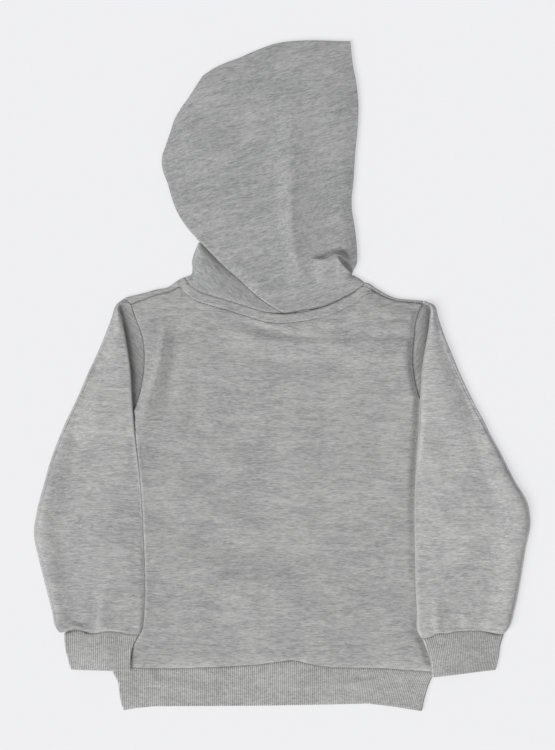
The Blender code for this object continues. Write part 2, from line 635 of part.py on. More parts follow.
def close_end(solid, outer, inner, rib_cells):
    """Close an end of a band, between its outer loop with the ribs and its plain inner loop."""
    first, last = TURN_CELLS, TURN_CELLS + BAND_CELLS
    for j in range(len(inner)):
        near, far = inner[j], inner[(j + 1) % len(inner)]
        if first <= j < last:
            start = first + round((j - first) * rib_cells / BAND_CELLS)
            stop = first + round((j + 1 - first) * rib_cells / BAND_CELLS)
        else:
            start = j if j < first else j + rib_cells - BAND_CELLS
            stop = start + 1
        run = [outer[i % len(outer)] for i in range(start, stop + 1)]
        middle = len(run) // 2
        for k, (here, ahead) in enumerate(zip(run, run[1:])):
            solid.faces.new((here, ahead, near if k < middle else far))
        solid.faces.new((run[middle], far, near))


def ring_section(start, end, low, high, y_of):
    """Loop round a flattened tube between two sides: up the left fold, over the top and back below."""
    start, end = start + HALF + TURN, end - HALF - TURN
    along = np.linspace(start, end, BAND_CELLS + 1)[1:]
    angles = [math.pi * step / TURN_CELLS for step in range(TURN_CELLS + 1)]
    loop = [(start - TURN * math.sin(angle), low(start) + TURN * (1 - math.cos(angle))) for angle in angles]
    loop += [(x, high(x)) for x in along]
    loop += [(end + TURN * math.sin(angle), low(end) + TURN * (1 + math.cos(angle))) for angle in angles[1:]]
    loop += [(x, low(x)) for x in along[-2::-1]]
    return [(x, y_of(x, z), z) for x, z in loop]


def make_hem_band():
    """Ribbed hem band, a flattened tube below the body, its top edge tucked under the back's roll."""
    left, right = (line(HEM_SIDES[side], BAND_ROWS) for side in (LEFT, RIGHT))
    columns = back_columns()
    ends = columns[[0, -1]]

    def y_of(x, z, share):
        upper = np.interp(x, columns, hem_line(columns))
        lower = np.interp(x, ends, hem_line(ends))
        top = lower + (upper - lower) * np.clip((z - level(0)) / LAYER, 0, 1)
        return top + share * (np.interp(x, *zip(*HEM_EDGE)) - top)

    sections = []
    for start, end, share in zip(left[:, 0], right[:, 0], np.linspace(0, 1, BAND_ROWS)):
        y_here = partial(y_of, share=share)
        sections.append(ring_section(start, end, lambda x: level(0), lambda x: level(1), y_here))
    build_object("hem_band", ribbed_ring(sections), "rib")


def make_cuff(side, name):
    """Ribbed cuff, a flattened tube that lies over the edge of the body."""
    def y_of(x, z, row):
        return row.fold_y + (row.outer_y - row.fold_y) * (side * x - row.fold) / (row.outer - row.fold)

    def low(x, row):
        return float(lying(side, side * x, y_of(x, 0, row)))

    def high(x, row):
        return low(x, row) + LAYER

    sections = []
    for row in CUFFS[side]:
        start, end = sorted((side * row.fold, side * row.outer))
        sections.append(ring_section(start, end, *(partial(part, row=row) for part in (low, high, y_of))))
    build_object(name, ribbed_ring(sections), "rib")


def hood_outline(inset):
    """The hood's back and top edges, the diagonal left out, moved in by an inset."""
    back = line(HOOD_BACK, HOOD_BACK_POINTS)
    top = line(HOOD_TOP, HOOD_TOP_POINTS)
    moved = []
    for edge in (back, top):
        inwards = np.array(HOOD_MIDDLE) - edge
        moved.append(edge + inset * inwards / np.linalg.norm(inwards, axis=1)[:, None])
    return moved


def make_hood_right():
    """Right half of the hood, on top, with its base turned under to the front neck seam."""
    diagonal = line(DIAGONAL, DIAGONAL_ROWS) + (GAP, GAP / 2)
    back, top = hood_outline(0.0)
    bulge = np.array(HOOD_BASE_BULGE)
    fold = np.array(HOOD_BASE_FOLD) - bulge * (TURN + HALF)
    base = split(NECK_RIGHT, 2) + (GAP / 2, 2 * GAP)
    base[-1] = fold[0]
    left = np.concatenate([diagonal, back[1:]])
    right = np.concatenate([fold, line(OPENING, len(left) - len(fold) + 1)[1:]])
    grid = patch(base, top, left, right)
    u = np.linspace(0, 1, grid.shape[1])[None]
    v = np.linspace(0, 1, grid.shape[0])[:, None]
    edge = ease(u / HOOD_FADE) * ease((1 - u) / HOOD_FADE)
    edge = edge * ease((v - 0.02) / HOOD_FADE) * ease((1 - v) / HOOD_TOP_FADE)
    height = level(1) + GAP / 4 * (1 - u) + edge * np.maximum(HOOD_LOFT + ridges(grid, HOOD_FOLDS), 0)
    cloth = Cloth()
    cloth.add(at_height(grid, height))
    turn = turn_over(at_height(fold, level(0)), np.tile(bulge, (len(fold), 1)), TURN, TURN_CELLS)[::-1]
    cloth.add(turn.transpose(1, 0, 2))
    low = np.array(FRONT_NECK_RIGHT[::-1]) + (-GAP / 2, 2 * GAP)
    low[-1, 0] += 4 * GAP
    high = np.linspace(fold[-1], low[-1] + HOOD_FLAP, len(low))
    flap = np.array([low, (low + high) / 2, high])
    flap[:, 0] = fold
    cloth.add(at_height(flap, level(0)))
    build_object("hood_right", cloth.wall(), "hood")


def make_hood_left():
    """Left half of the hood, underneath, folded up at its left side to show beside the centre seam."""
    bulge = np.tile(HOOD_SIDE_BULGE, (DIAGONAL_ROWS, 1))
    fold = line(HOOD_SIDE_FOLD, DIAGONAL_ROWS) - bulge * (TURN + HALF)
    back, top = hood_outline(HOOD_UNDERLAP)
    left = np.concatenate([fold, back[1:]])
    base = split(FRONT_NECK_LEFT, 2) + (1.2 * GAP, 1.5 * GAP)
    base[0] = fold[0]
    hidden = line([base[-1], base[-1] + (6, 8)] + HOOD_HIDDEN, DIAGONAL_ROWS + 1)
    opening = line(OPENING, len(left) - len(hidden) + 2)[1:] - (1.5 * HOOD_UNDERLAP, 0)
    right = np.concatenate([hidden, opening[1:]])
    right[-1] = top[-1]
    cloth = Cloth()
    cloth.add(at_height(patch(base, top, left, right), level(0))[:, ::-1])
    cloth.add(turn_over(at_height(fold, level(0)), bulge, TURN, TURN_CELLS).transpose(1, 0, 2))
    seam = line(DIAGONAL, DIAGONAL_ROWS) - (GAP, GAP / 2)
    seam[-1] = fold[-1]
    shown = np.array([np.linspace(near, far, len(NECK_LEFT) + 1) for near, far in zip(fold, seam)])
    shown[0, 1:] = np.array(NECK_LEFT) + (0, GAP)
    shown[0, 1, 0] += 1.5 * GAP
    shown[0, -1] = np.array(NAPE) + (-GAP / 2, GAP)
    cloth.add(at_height(shown, level(1)))
    build_object("hood_left", cloth.wall(), "hood")


def main():
    """Clear the scene and make the hoodie's nine pieces."""
    for old in list(bpy.context.scene.objects):
        bpy.data.objects.remove(old)
    make_front()
    make_back()
    make_sleeve(LEFT, "sleeve_left")
    make_sleeve(RIGHT, "sleeve_right")
    make_cuff(LEFT, "cuff_left")
    make_cuff(RIGHT, "cuff_right")
    make_hem_band()
    make_hood_left()
    make_hood_right()


main()
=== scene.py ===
"""Finished look of a toddler's pullover hoodie, age 2 to 3, laid flat with its back up.

The hood lies folded along its centre seam, and the sleeves are brought straight down over the sides
of the back. Every cut piece is a thin shell of brushed fleece or rib knit on the form of its solid.
Sizes are in millimetres, X to the right, Y up the garment towards the hood and Z up from the surface,
from the middle of the garment. "Out" is the distance from X = 0 towards either side.
"""

from __future__ import annotations

import json
import logging
import math
from dataclasses import dataclass
from enum import Enum
from typing import Callable, NamedTuple, Sequence

import bpy
import numpy as np
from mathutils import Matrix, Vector
from mathutils.bvhtree import BVHTree

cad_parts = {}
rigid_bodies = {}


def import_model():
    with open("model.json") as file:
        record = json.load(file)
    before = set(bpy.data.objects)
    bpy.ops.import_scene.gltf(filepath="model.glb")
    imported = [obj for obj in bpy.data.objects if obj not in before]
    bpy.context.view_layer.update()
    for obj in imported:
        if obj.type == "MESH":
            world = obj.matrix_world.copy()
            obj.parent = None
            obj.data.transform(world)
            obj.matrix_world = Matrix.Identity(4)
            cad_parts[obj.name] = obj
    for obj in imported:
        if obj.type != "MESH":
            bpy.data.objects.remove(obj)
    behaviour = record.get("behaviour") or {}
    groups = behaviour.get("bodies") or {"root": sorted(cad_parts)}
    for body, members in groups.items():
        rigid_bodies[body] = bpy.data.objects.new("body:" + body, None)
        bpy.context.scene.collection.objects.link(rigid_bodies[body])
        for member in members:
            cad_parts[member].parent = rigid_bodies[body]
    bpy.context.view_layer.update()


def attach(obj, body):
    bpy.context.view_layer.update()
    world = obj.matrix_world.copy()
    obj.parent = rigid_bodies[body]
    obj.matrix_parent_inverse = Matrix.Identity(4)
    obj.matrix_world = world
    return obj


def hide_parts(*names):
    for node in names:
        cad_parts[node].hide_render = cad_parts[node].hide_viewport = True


LOG = logging.getLogger("hoodie")
MM = 0.001

CLOTH = 1.6  # thickness of the brushed fleece
HALF = CLOTH / 2
GAP = 0.3  # between neighbouring pieces, at seams and between layers
LAYER = CLOTH + GAP  # from the middle of one layer of cloth to the next
TURN = LAYER / 2  # radius of a sharp fold, at the middle of the cloth
TURN_CELLS = 6  # facets of a sharp fold
TINY = 1e-6
SHOWN, TONE_AND_PAINTED_LIGHT, PHASE, GRAIN, BELOW = range(3, 8)  # a grid's channels after X, Y and Z; the tone carries painted shade and painted highlights

Point = tuple[float, float]
Pair = tuple[float, float]  # mostly where something starts, and over how much it comes in
Span = tuple[float, float, float, float]  # start, end, rise and fall

LATTICE = 97  # places of a ripple's random lattice before it repeats
CREASE_REACH = 2.6  # flank widths past which a crease adds nothing
CREASE_BLEND = 1.5  # distance over which the stretches of a crease blend


class Side(Enum):
    """The garment's side, as its sign along X."""

    LEFT = -1
    RIGHT = 1

    def named(self, piece: str) -> str:
        """Name of this side's own piece."""
        return f"{piece}_{self.name.lower()}"


class Hold(Enum):
    """How a piece of cloth is held."""

    LAID = "laid"
    FOLDED = "folded"


class Arm(NamedTuple):
    """One row of a sleeve head, with all its distances counted out from the middle."""

    seam: float  # armhole seam
    seam_y: float
    outer: float  # outer edge
    outer_y: float
    fold: float  # inner fold beside the seam
    sweep: float  # how many degrees the cloth turns there
    tuck: float  # how far it is tucked under the fold


class Tube(NamedTuple):
    """One row of a sleeve or cuff: its inner and outer fold."""

    fold: float
    fold_y: float
    outer: float
    outer_y: float


# Sleeve heads, shoulder to underarm.
ARMS = {
    Side.LEFT: [Arm(*row) for row in (
        (151.5, 71.5, 158.3, 78.4, 153, 20, 0.2),
        (149.5, 66, 166, 72, 162, 90, 0.2),
        (145.3, 55, 171.5, 57, 160, 150, 0.6),
        (139.8, 40, 178, 40, 156.7, 180, 3),
        (137.5, 22, 185.7, 22, 153.7, 180, 6),
        (138.2, 3, 194.6, 3, 151.3, 180, 10),
        (141.5, -15.5, 202.5, -15.5, 150.3, 180, 14),
        (147.5, -33, 210.6, -33, 149.2, 180, 18),
        (160, -46, 217, -46, 148.3, 180, 20.5),
        (171, -55.5, 221, -55.5, 147.6, 180, 22.4))],
    Side.RIGHT: [Arm(*row) for row in (
        (140, 72.2, 142.2, 75.6, 141, 20, 0.1),
        (137, 66, 151.8, 71, 146.5, 90, 0.2),
        (133.4, 55, 156.5, 57, 146.8, 150, 0.3),
        (131.7, 40, 162.3, 40, 144.5, 180, 1.5),
        (130.1, 22, 169.6, 22, 141.2, 180, 4.5),
        (131.2, 3, 177.6, 3, 138.5, 180, 9),
        (135, -15.5, 186.3, -15.5, 137.5, 180, 13.5),
        (141.5, -30, 193.5, -30, 136.5, 180, 16.5),
        (149, -38, 197.8, -38, 136, 180, 18.8),
        (157, -43.5, 201, -43.5, 135.8, 180, 20.2))],
}

# Sleeves below the underarm, down to the cuff.
TUBES = {
    Side.LEFT: [Tube(*row) for row in (
        (146.3, -67, 225.7, -67), (144.2, -84, 232, -84), (141.5, -108.5, 239, -108.5),
        (139.8, -135.5, 246, -135.5), (138.8, -157.5, 249, -157.5), (137.7, -183.5, 244, -183.5),
        (137.2, -213.5, 236.5, -213.5), (138.2, -238.5, 230.2, -238.5), (139.8, -252, 227.6, -250.5),
        (142.6, -258.2, 223.8, -256.2))],
    Side.RIGHT: [Tube(*row) for row in (
        (135.2, -56, 207, -56), (133.8, -78.5, 219.3, -78.5), (132.8, -103.5, 232, -103.5),
        (132, -128.5, 246, -128.5), (132, -145.5, 248.4, -145.5), (132.3, -173.5, 243.4, -173.5),
        (132.8, -203.5, 238.5, -203.5), (134.3, -235.5, 232, -235.5), (135.2, -255.5, 227, -251.5),
        (138.8, -261.8, 222.8, -257))],
}
CUFFS = {
    Side.LEFT: [Tube(*row) for row in (
        (143.7, -258.3, 218.5, -256.9), (149, -268.5, 218, -270), (151.5, -281, 215, -283),
        (151.8, -294.5, 212, -294))],
    Side.RIGHT: [Tube(*row) for row in (
        (139.5, -262.3, 221.8, -258.4), (144, -272.5, 218, -270), (147.5, -285.5, 216.6, -281),
        (149.2, -301, 213.4, -294.2))],
}

# Lower edge of each sleeve, where it puffs over the top of its cuff, from left to right.
SLEEVE_ENDS = {
    Side.LEFT: [(-228, -254), (-223, -256), (-217, -256.6), (-212.5, -256), (-208.5, -254.2), (-203.5, -253.6),
                (-200, -255), (-197, -257), (-190, -257.4), (-183, -256), (-176.5, -254.2), (-170, -254.4),
                (-163, -255.3), (-155, -256.8), (-148, -258.4), (-141.5, -258.2)],
    Side.RIGHT: [(137, -260), (141, -262), (145, -261.2), (149, -259.6), (154, -256.7), (157, -256), (164, -256.4),
                 (172, -254.5), (180, -253.6), (187, -253.4), (195, -253.8), (201, -255), (207, -256.8),
                 (211, -258.2), (217, -258.6), (224, -256.5)],
}

CUFF_SEAM = {Side.LEFT: 150.0, Side.RIGHT: 145.0}  # how far out the underarm seam is at the cuff
SIDE_SEAM = {Side.LEFT: (171.0, 172.0, 171.0), Side.RIGHT: (157.0, 158.0, 155.5)}  # out: underarm, waist, hem

# Shoulder seams on the back, and the fold where the front comes over the top, armhole to neck.
SHOULDER_SEAM = {
    Side.LEFT: [(-151.5, 71.5), (-137, 77), (-123, 82.2), (-111.5, 85), (-102.5, 89), (-94.5, 92)],
    Side.RIGHT: [(140, 72.2), (126, 73.6), (112.5, 75.4), (101.6, 79.4), (92.7, 84), (80.5, 89.6)],
}
SHOULDER_FOLD = {
    Side.LEFT: [(-157.6, 77.8), (-141, 82), (-125.5, 86.4), (-114, 88.7), (-105.6, 94.3), (-98, 97.9)],
    Side.RIGHT: [(141, 74.5), (126.4, 76.1), (113.3, 77.8), (103.6, 81.5), (94.6, 86.6), (83.3, 92.6)],
}

# Back neck seam from the left shoulder to the nape, and on to the right shoulder.
NAPE = (1.5, 62.2)
NECK_LEFT = [(-94.5, 92), (-84, 85), (-69, 79.8), (-52, 75), (-33, 69), (-15, 63.6), NAPE]
NECK_RIGHT = [NAPE, (19, 64.3), (37, 67.9), (51, 72.8), (61, 77.8), (71, 83.2), (80.5, 89.6)]
NECK_STITCHES = [(-101.5, 88.5), (-94, 81), (-84, 75.5), (-75, 70.7), (-61, 66), (-33, 58.7), (-16, 55.5),
                 (-2, 53.5), (9, 53.2), (30, 55.5), (48.5, 59.5), (65, 66.5), (77, 75.5), (85, 83.5)]

# How far out the neck band ends on each shoulder, and over how much the shoulder seam's shade comes in there.
BAND_ENDS = {Side.LEFT: (103.6, 1.5), Side.RIGHT: (89.5, 1.0)}

# Front neck seam, under the hood.
CENTRE_FRONT = (-7, 40.5)
FRONT_NECK_LEFT = [(-98, 97.9), (-90, 80), (-76, 64), (-58, 52.5), (-40, 45.5), (-23, 41.5), CENTRE_FRONT]
FRONT_NECK_RIGHT = [CENTRE_FRONT, (10, 41.5), (27, 46), (44, 53.5), (60, 64.5), (73.5, 77.5), (83.3, 92.6)]

# Lower edge of the back, where it rolls over the hem band, and the band's own lower edge and sides.
ROLL_EDGE = [(-172, -291.8), (-150, -291.5), (-114, -292.4), (-70, -291.2), (-23, -288.5), (-6, -286), (12, -284),
             (24, -287.4), (46, -291), (101, -292.2), (147, -295.5), (158, -296)]
HEM_EDGE = [(-158, -334.5), (-147, -332.4), (-128, -330.6), (-23, -330), (46, -328.9), (85.5, -327.9),
            (111, -330.9), (139.5, -335.5)]
HEM_SIDES = {
    Side.LEFT: [(-171, -288), (-170, -297), (-165.6, -303.5), (-163.5, -316), (-161.5, -328), (-159, -334.3)],
    Side.RIGHT: [(155, -292), (148.5, -303), (143, -319), (139.5, -335.5)],
}

# Hood, lying on its left half. The centre seam runs from the nape up the diagonal to the notch and
# round the outline to the peak; the face opening runs back down the right side.
NOTCH = (-84, 135.5)
PEAK = (68, 334.9)
HOOD_CORNER = (-80, 300.5)
DIAGONAL = [NAPE, (-11, 69.5), (-22, 77), (-33, 86.5), (-44, 97), (-60, 111), NOTCH]
HOOD_BACK = [NOTCH, (-97, 150.5), (-107, 167.5), (-114.5, 191.5), (-121, 212), (-113.5, 239), (-107, 258.5),
             (-93.5, 278.5), HOOD_CORNER]
HOOD_TOP = [HOOD_CORNER, (-64, 310.5), (-48, 316.5), (-27, 325.5), (-4, 333.3), (14, 335.3), PEAK]
OPENING = [(71, 101.5), (74.5, 114), (74.5, 128), (72, 150.5), (69, 171.5), (71, 194.5), (73, 225.5), (75, 246.5),
           (76, 269.5), (74.5, 289), (70, 314.5), PEAK]
HOOD_SIDE_FOLD = [(-97.6, 98.3), (-90.2, 102.6), (-91, 112), (-84.6, 133.5)]
HOOD_BASE_FOLD = [(83.2, 93), (77, 97.6), (71, 101.5)]
HOOD_FLAP = (8, 5)  # from the centre front to the top of the turned-under base
HOOD_HIDDEN = [(24, 71), (46, 88), (62, 103), (67, 110)]
HOOD_MIDDLE = (-20, 220)
HOOD_BACK_POINTS, HOOD_TOP_POINTS = 15, 13
DIAGONAL_ROWS = 7


@dataclass(frozen=True)
class Crease:
    """A soft ridge (positive height) or trough (negative) along a line of places.

    Its two flanks have widths of their own, left and right of the way the line runs, and it fades
    in and out over a share of its length at each end. A power nearer 1 gives it a sharper crest, and
    its shade is painted shade, which darkens the cloth along its left flank.
    """

    height: float
    left: float
    right: float
    path: tuple[Point, ...]
    start: float = 0.3
    end: float = 0.3
    power: float = 2.0
    shade: float = 0.0


@dataclass(frozen=True)
class Ripple:
    """Fine unevenness of cloth that has been worn and washed: its size, height, stretch and direction."""

    size: float
    height: float
    seed: int
    stretch: float = 1.0
    turn: float = 0.0


def level(layer: int) -> float:
    """Height of the middle of the cloth in a layer, counted from the surface."""
    return HALF + layer * LAYER


def ease(share: np.ndarray | float) -> np.ndarray:
    """Smooth step from 0 to 1."""
    share = np.clip(share, 0, 1)
    return share * share * (3 - 2 * share)


def onset(value: np.ndarray | float, start: Pair) -> np.ndarray:
    """0 up to a start, and eased from there to 1 over the distance that the pair gives after it."""
    return ease((value - start[0]) / start[1])


def between(x: np.ndarray, start: float, end: float, rise: float, fall: float) -> np.ndarray:
    """1 between a start and an end, eased to 0 at both over a rise and a fall inside them."""
    return ease((x - start) / rise) * ease((end - x) / fall)


def bell(distance: np.ndarray, reach: float) -> np.ndarray:
    """Smooth hump: 1 at no distance, and nearly 0 at twice the reach."""
    return np.exp(-(distance / reach) ** 2)


def swell(share: np.ndarray, power: float = 0.5) -> np.ndarray:
    """Smooth rise from 0 to 1 in the middle and back to 0."""
    return np.sin(np.pi * np.clip(share, 0, 1)) ** power


def painted_shade(distance: np.ndarray, shade: float = 0.5, reach: float = 0.9) -> np.ndarray:
    """Painted shade near a sewn seam or in a hollow: the cloth's tone at a distance from it, darker towards it."""
    return 1 - shade * bell(distance, reach)


def rolled(distance: np.ndarray, reach: float) -> np.ndarray:
    """Quarter-round rise from 0 at an edge to 1 at a reach inside it."""
    away = 1 - np.clip(distance / reach, 0, 1)
    return np.sqrt(1 - away * away)


def unit(rows: np.ndarray) -> np.ndarray:
    """The same directions, all of length 1."""
    return rows / np.linalg.norm(rows, axis=1)[:, None]


def line(points: Sequence[Point], count: int, lead: Sequence[Point] = ()) -> np.ndarray:
    """Evenly spaced places on a smooth curve.

    Args:
        points: Places that the curve passes through.
        count: How many places to return.
        lead: Places before the first one, which only shape the curve.

    Returns:
        An array of count rows of X and Y.
    """
    points = np.array([*lead, *points], float)
    curve = refine(at_height(points, 0.0)[:, None], 1.0, 0)[:, 0, :2]
    curve = curve[np.argmin(np.hypot(*(curve - points[len(lead)]).T)):]
    length = np.concatenate(([0], np.cumsum(np.linalg.norm(np.diff(curve, axis=0), axis=1))))
    even = np.linspace(0, length[-1], count)
    return np.column_stack([np.interp(even, length, values) for values in curve.T])


def resample(points: Sequence[Point], count: int) -> np.ndarray:
    """Places along a polyline, with as many on each of its stretches."""
    new = np.linspace(0, len(points) - 1, count)
    return np.column_stack([np.interp(new, np.arange(len(points)), values) for values in zip(*points)])


def split(points: Sequence[Point], times: int) -> np.ndarray:
    """The same polyline with each of its stretches cut into equal parts."""
    return resample(points, (len(points) - 1) * times + 1)


def shares(edge: np.ndarray) -> np.ndarray:
    """How far along an edge each of its points lies, from 0 to 1."""
    reach = np.concatenate(([0], np.cumsum(np.linalg.norm(np.diff(edge, axis=0), axis=1))))
    return reach / reach[-1]


def patch(bottom: Sequence, top: Sequence, left: Sequence, right: Sequence) -> np.ndarray:
    """Grid of places between four edges that meet at their ends; rows run from left to right."""
    bottom, top, left, right = (np.array(edge, float)[:, :2] for edge in (bottom, top, left, right))
    u = ((shares(bottom) + shares(top)) / 2)[None, :, None]
    v = ((shares(left) + shares(right)) / 2)[:, None, None]
    from_left, from_right = (edge[:, None] - (1 - v) * edge[0] - v * edge[-1] for edge in (left, right))
    return (1 - v) * bottom[None] + v * top[None] + (1 - u) ** 2 * from_left + u**2 * from_right


def at_height(places: np.ndarray, height: np.ndarray | float) -> np.ndarray:
    """Places of the middle of the cloth, at one height or at a height for each."""
    height = np.broadcast_to(height, places.shape[:-1])
    return np.concatenate([places, height[..., None]], axis=-1)


def with_marks(grid: np.ndarray, *marks: np.ndarray | float) -> np.ndarray:
    """Add channels to a grid: how far its ribs stand out, its tone with painted shade and highlights, and whatever
    follows them.
    """
    return np.concatenate([grid] + [np.broadcast_to(mark, grid.shape[:2])[..., None] for mark in marks], axis=-1)


def refine(grid: np.ndarray, cell: float | Sequence[float], axis: int) -> np.ndarray:
    """Cut the cells of a grid along one axis, on smooth curves through its points.

    Args:
        grid: Rows and columns of points, with X, Y and Z first and any other channels after them.
        cell: The longest cell wanted, or one such size for each cell of the grid.
        axis: 0 to cut between rows, 1 between columns.

    Returns:
        The denser grid.
    """
    work = np.moveaxis(grid, axis, 0)
    step = np.linalg.norm(np.diff(work[..., :3], axis=0), axis=-1)
    span = np.maximum(step, TINY)[..., None]
    rate = np.diff(work, axis=0) / span
    slope = np.concatenate([rate[:1], rate[:1], rate[1:]])
    slope[1:-1] = (rate[:-1] * span[1:] + rate[1:] * span[:-1]) / (span[1:] + span[:-1])
    parts = np.maximum(1, np.ceil(step.max(axis=1) / np.asarray(cell, float))).astype(int)
    rows = []
    for k, count in enumerate(parts):
        t = (np.arange(count) / count)[:, None, None]
        rows.append((2 * t**3 - 3 * t**2 + 1) * work[k] + (t**3 - 2 * t**2 + t) * span[k] * slope[k]
                    + (3 * t**2 - 2 * t**3) * work[k + 1] + (t**3 - t**2) * span[k] * slope[k + 1])
    return np.moveaxis(np.concatenate(rows + [work[-1:]]), 0, axis)


def near_edge(grid: np.ndarray, reach: float, axis: int, last: bool = False) -> np.ndarray:
    """Put one more row or column into a coarse grid, a set distance inside one of its edges."""
    work = np.moveaxis(grid, axis, 0)[::-1 if last else 1]
    step = work[1] - work[0]
    length = np.linalg.norm(step[..., :2], axis=-1)[..., None]
    work = np.concatenate([work[:1], (work[0] + step * np.minimum(0.5, reach / length))[None], work[1:]])
    return np.moveaxis(work[::-1 if last else 1], 0, axis)


def edge_distance(grid: np.ndarray, axis: int, last: bool = False) -> np.ndarray:
    """Distance of every point of a grid from its first or last row or column, along the other lines."""
    work = np.moveaxis(grid, axis, 0)[::-1 if last else 1]
    step = np.linalg.norm(np.diff(work[..., :2], axis=0), axis=-1)
    reach = np.concatenate([np.zeros((1,) + step.shape[1:]), np.cumsum(step, axis=0)])
    return np.moveaxis(reach[::-1 if last else 1], 0, axis)


def climb(count: int) -> np.ndarray:
    """Share of the way from the first of a grid's rows to its last, as a column."""
    return np.linspace(0, 1, count)[:, None]


def off_edges(shape: Sequence[int]) -> np.ndarray:
    """1 inside a grid and 0 along its four edges."""
    return np.pad(np.ones((shape[0] - 2, shape[1] - 2)), 1)


def turn_over(lower: np.ndarray, bulge: np.ndarray, cells: int = TURN_CELLS) -> np.ndarray:
    """Rows of a half turn from each point of a lower edge up to the layer above it."""
    rows = []
    for angle in (math.pi * step / cells for step in range(cells + 1)):
        rise = np.full((len(lower), 1), TURN * (1 - math.cos(angle)))
        rows.append(lower + np.concatenate([bulge * TURN * math.sin(angle), rise], axis=1))
    return np.array(rows)


def arc(start: Point, heading: float, sweep: float, radius: float, cells: int) -> list[Point]:
    """Points on an arc that leaves a start in a heading; a positive sweep turns upwards from outwards."""
    reach = math.copysign(radius, sweep)
    turns = [heading + sweep * step / cells for step in range(1, cells + 1)]
    return [(start[0] + reach * (math.sin(turned) - math.sin(heading)),
             start[1] - reach * (math.cos(turned) - math.cos(heading))) for turned in turns]


def stretches(stops: Sequence[float], cells: Sequence[int]) -> list[float]:
    """Distances along stops, with each stretch between two stops cut into its number of cells."""
    run = [stops[0]]
    for near, far, parts in zip(stops, stops[1:], cells):
        run += list(np.linspace(near, far, parts + 1)[1:])
    return run


def uneven(x: np.ndarray, y: np.ndarray, ripple: Ripple) -> np.ndarray:
    """Smooth random height at each place, from a seeded lattice and cubic blending."""
    lattice = np.random.default_rng(ripple.seed).uniform(-1, 1, (LATTICE, LATTICE))
    turn = math.radians(ripple.turn)
    along = (x * math.cos(turn) + y * math.sin(turn)) / (ripple.size * ripple.stretch)
    across = (y * math.cos(turn) - x * math.sin(turn)) / ripple.size
    total = np.zeros(np.shape(x))
    cell_a, cell_b = np.floor(along).astype(int), np.floor(across).astype(int)

    def weights(t: np.ndarray) -> tuple[np.ndarray, ...]:
        return ((1 - t) ** 3 / 6, (3 * t**3 - 6 * t**2 + 4) / 6, (-3 * t**3 + 3 * t**2 + 3 * t + 1) / 6, t**3 / 6)

    for i, weight_a in enumerate(weights(along - cell_a)):
        for j, weight_b in enumerate(weights(across - cell_b)):
            total += weight_a * weight_b * lattice[(cell_a + i) % LATTICE, (cell_b + j) % LATTICE]
    return 2 * ripple.height * total


def crease_height(x: np.ndarray, y: np.ndarray, crease: Crease) -> tuple[np.ndarray, np.ndarray]:
    """Height that one crease adds at each place, and how much painted shade darkens the cloth there."""
    path = line(crease.path, 3 + 4 * len(crease.path))
    shape = np.shape(x)
    points = np.column_stack([np.ravel(x), np.ravel(y)])
    reach = CREASE_REACH * max(crease.left, crease.right)
    low, high = path.min(axis=0) - reach, path.max(axis=0) + reach
    near = np.flatnonzero(((points > low) & (points < high)).all(axis=1))
    height, dark = np.zeros(len(points)), np.zeros(len(points))
    best = np.full(len(near), np.inf)
    side = np.ones(len(near))
    reached = shares(path)
    found = []
    for k, (start, run) in enumerate(zip(path, np.diff(path, axis=0))):
        offset = points[near] - start
        part = np.clip(offset @ run / run.dot(run), 0, 1)
        away = offset - part[:, None] * run
        distance = np.hypot(*away.T)
        closer = distance < best
        best[closer] = distance[closer]
        side[closer] = (run[0] * away[:, 1] - run[1] * away[:, 0])[closer]
        found.append((distance, reached[k] + part * (reached[k + 1] - reached[k])))
    nearness = np.array([np.exp((best - distance) / CREASE_BLEND) for distance, _ in found])
    share = (nearness * np.array([along for _, along in found])).sum(axis=0) / nearness.sum(axis=0)
    width = np.where(side > 0, crease.left, crease.right)
    fade = ease(share / max(crease.start, TINY)) * ease((1 - share) / max(crease.end, TINY))
    height[near] = crease.height * fade * np.exp(-(best / width) ** crease.power)
    # Painted shade along the fold's left flank, reaching a third as far on its right.
    pressed_and_shaded = np.where(side > 0, best / crease.left, 3 * best / crease.left)
    dark[near] = crease.shade * fade * np.exp(-pressed_and_shaded**2)
    return height.reshape(shape), dark.reshape(shape)


@dataclass(frozen=True)
class Relief:
    """The folds and the unevenness of one piece of cloth, as a height over its form."""

    creases: Sequence[Crease]
    ripples: Sequence[Ripple]
    wobbles: Sequence[Ripple] = (Ripple(9, 0.12, 5), Ripple(31, 0.35, 6))  # of the creases' heights

    def at(self, grid: np.ndarray) -> np.ndarray:
        """Height of all the folds together at each place of a grid."""
        x, y = grid[..., 0], grid[..., 1]
        total = sum((uneven(x, y, ripple) for ripple in self.ripples), np.zeros(x.shape))
        wobble = sum((uneven(x, y, ripple) for ripple in self.wobbles), np.ones(x.shape))
        return sum((crease_height(x, y, crease)[0] * wobble for crease in self.creases), total)

    def tone(self, grid: np.ndarray) -> np.ndarray:
        """Tone of the cloth at each place, with the painted shade along its folds."""
        tone = np.ones(grid.shape[:2])
        for crease in self.creases:
            if crease.shade:
                tone *= 1 - crease_height(grid[..., 0], grid[..., 1], crease)[1]
        return tone


GRAIN_WAVES = (Ripple(26, 1.6, 3), Ripple(26, 1.6, 4))  # how far the grain strays, along and across


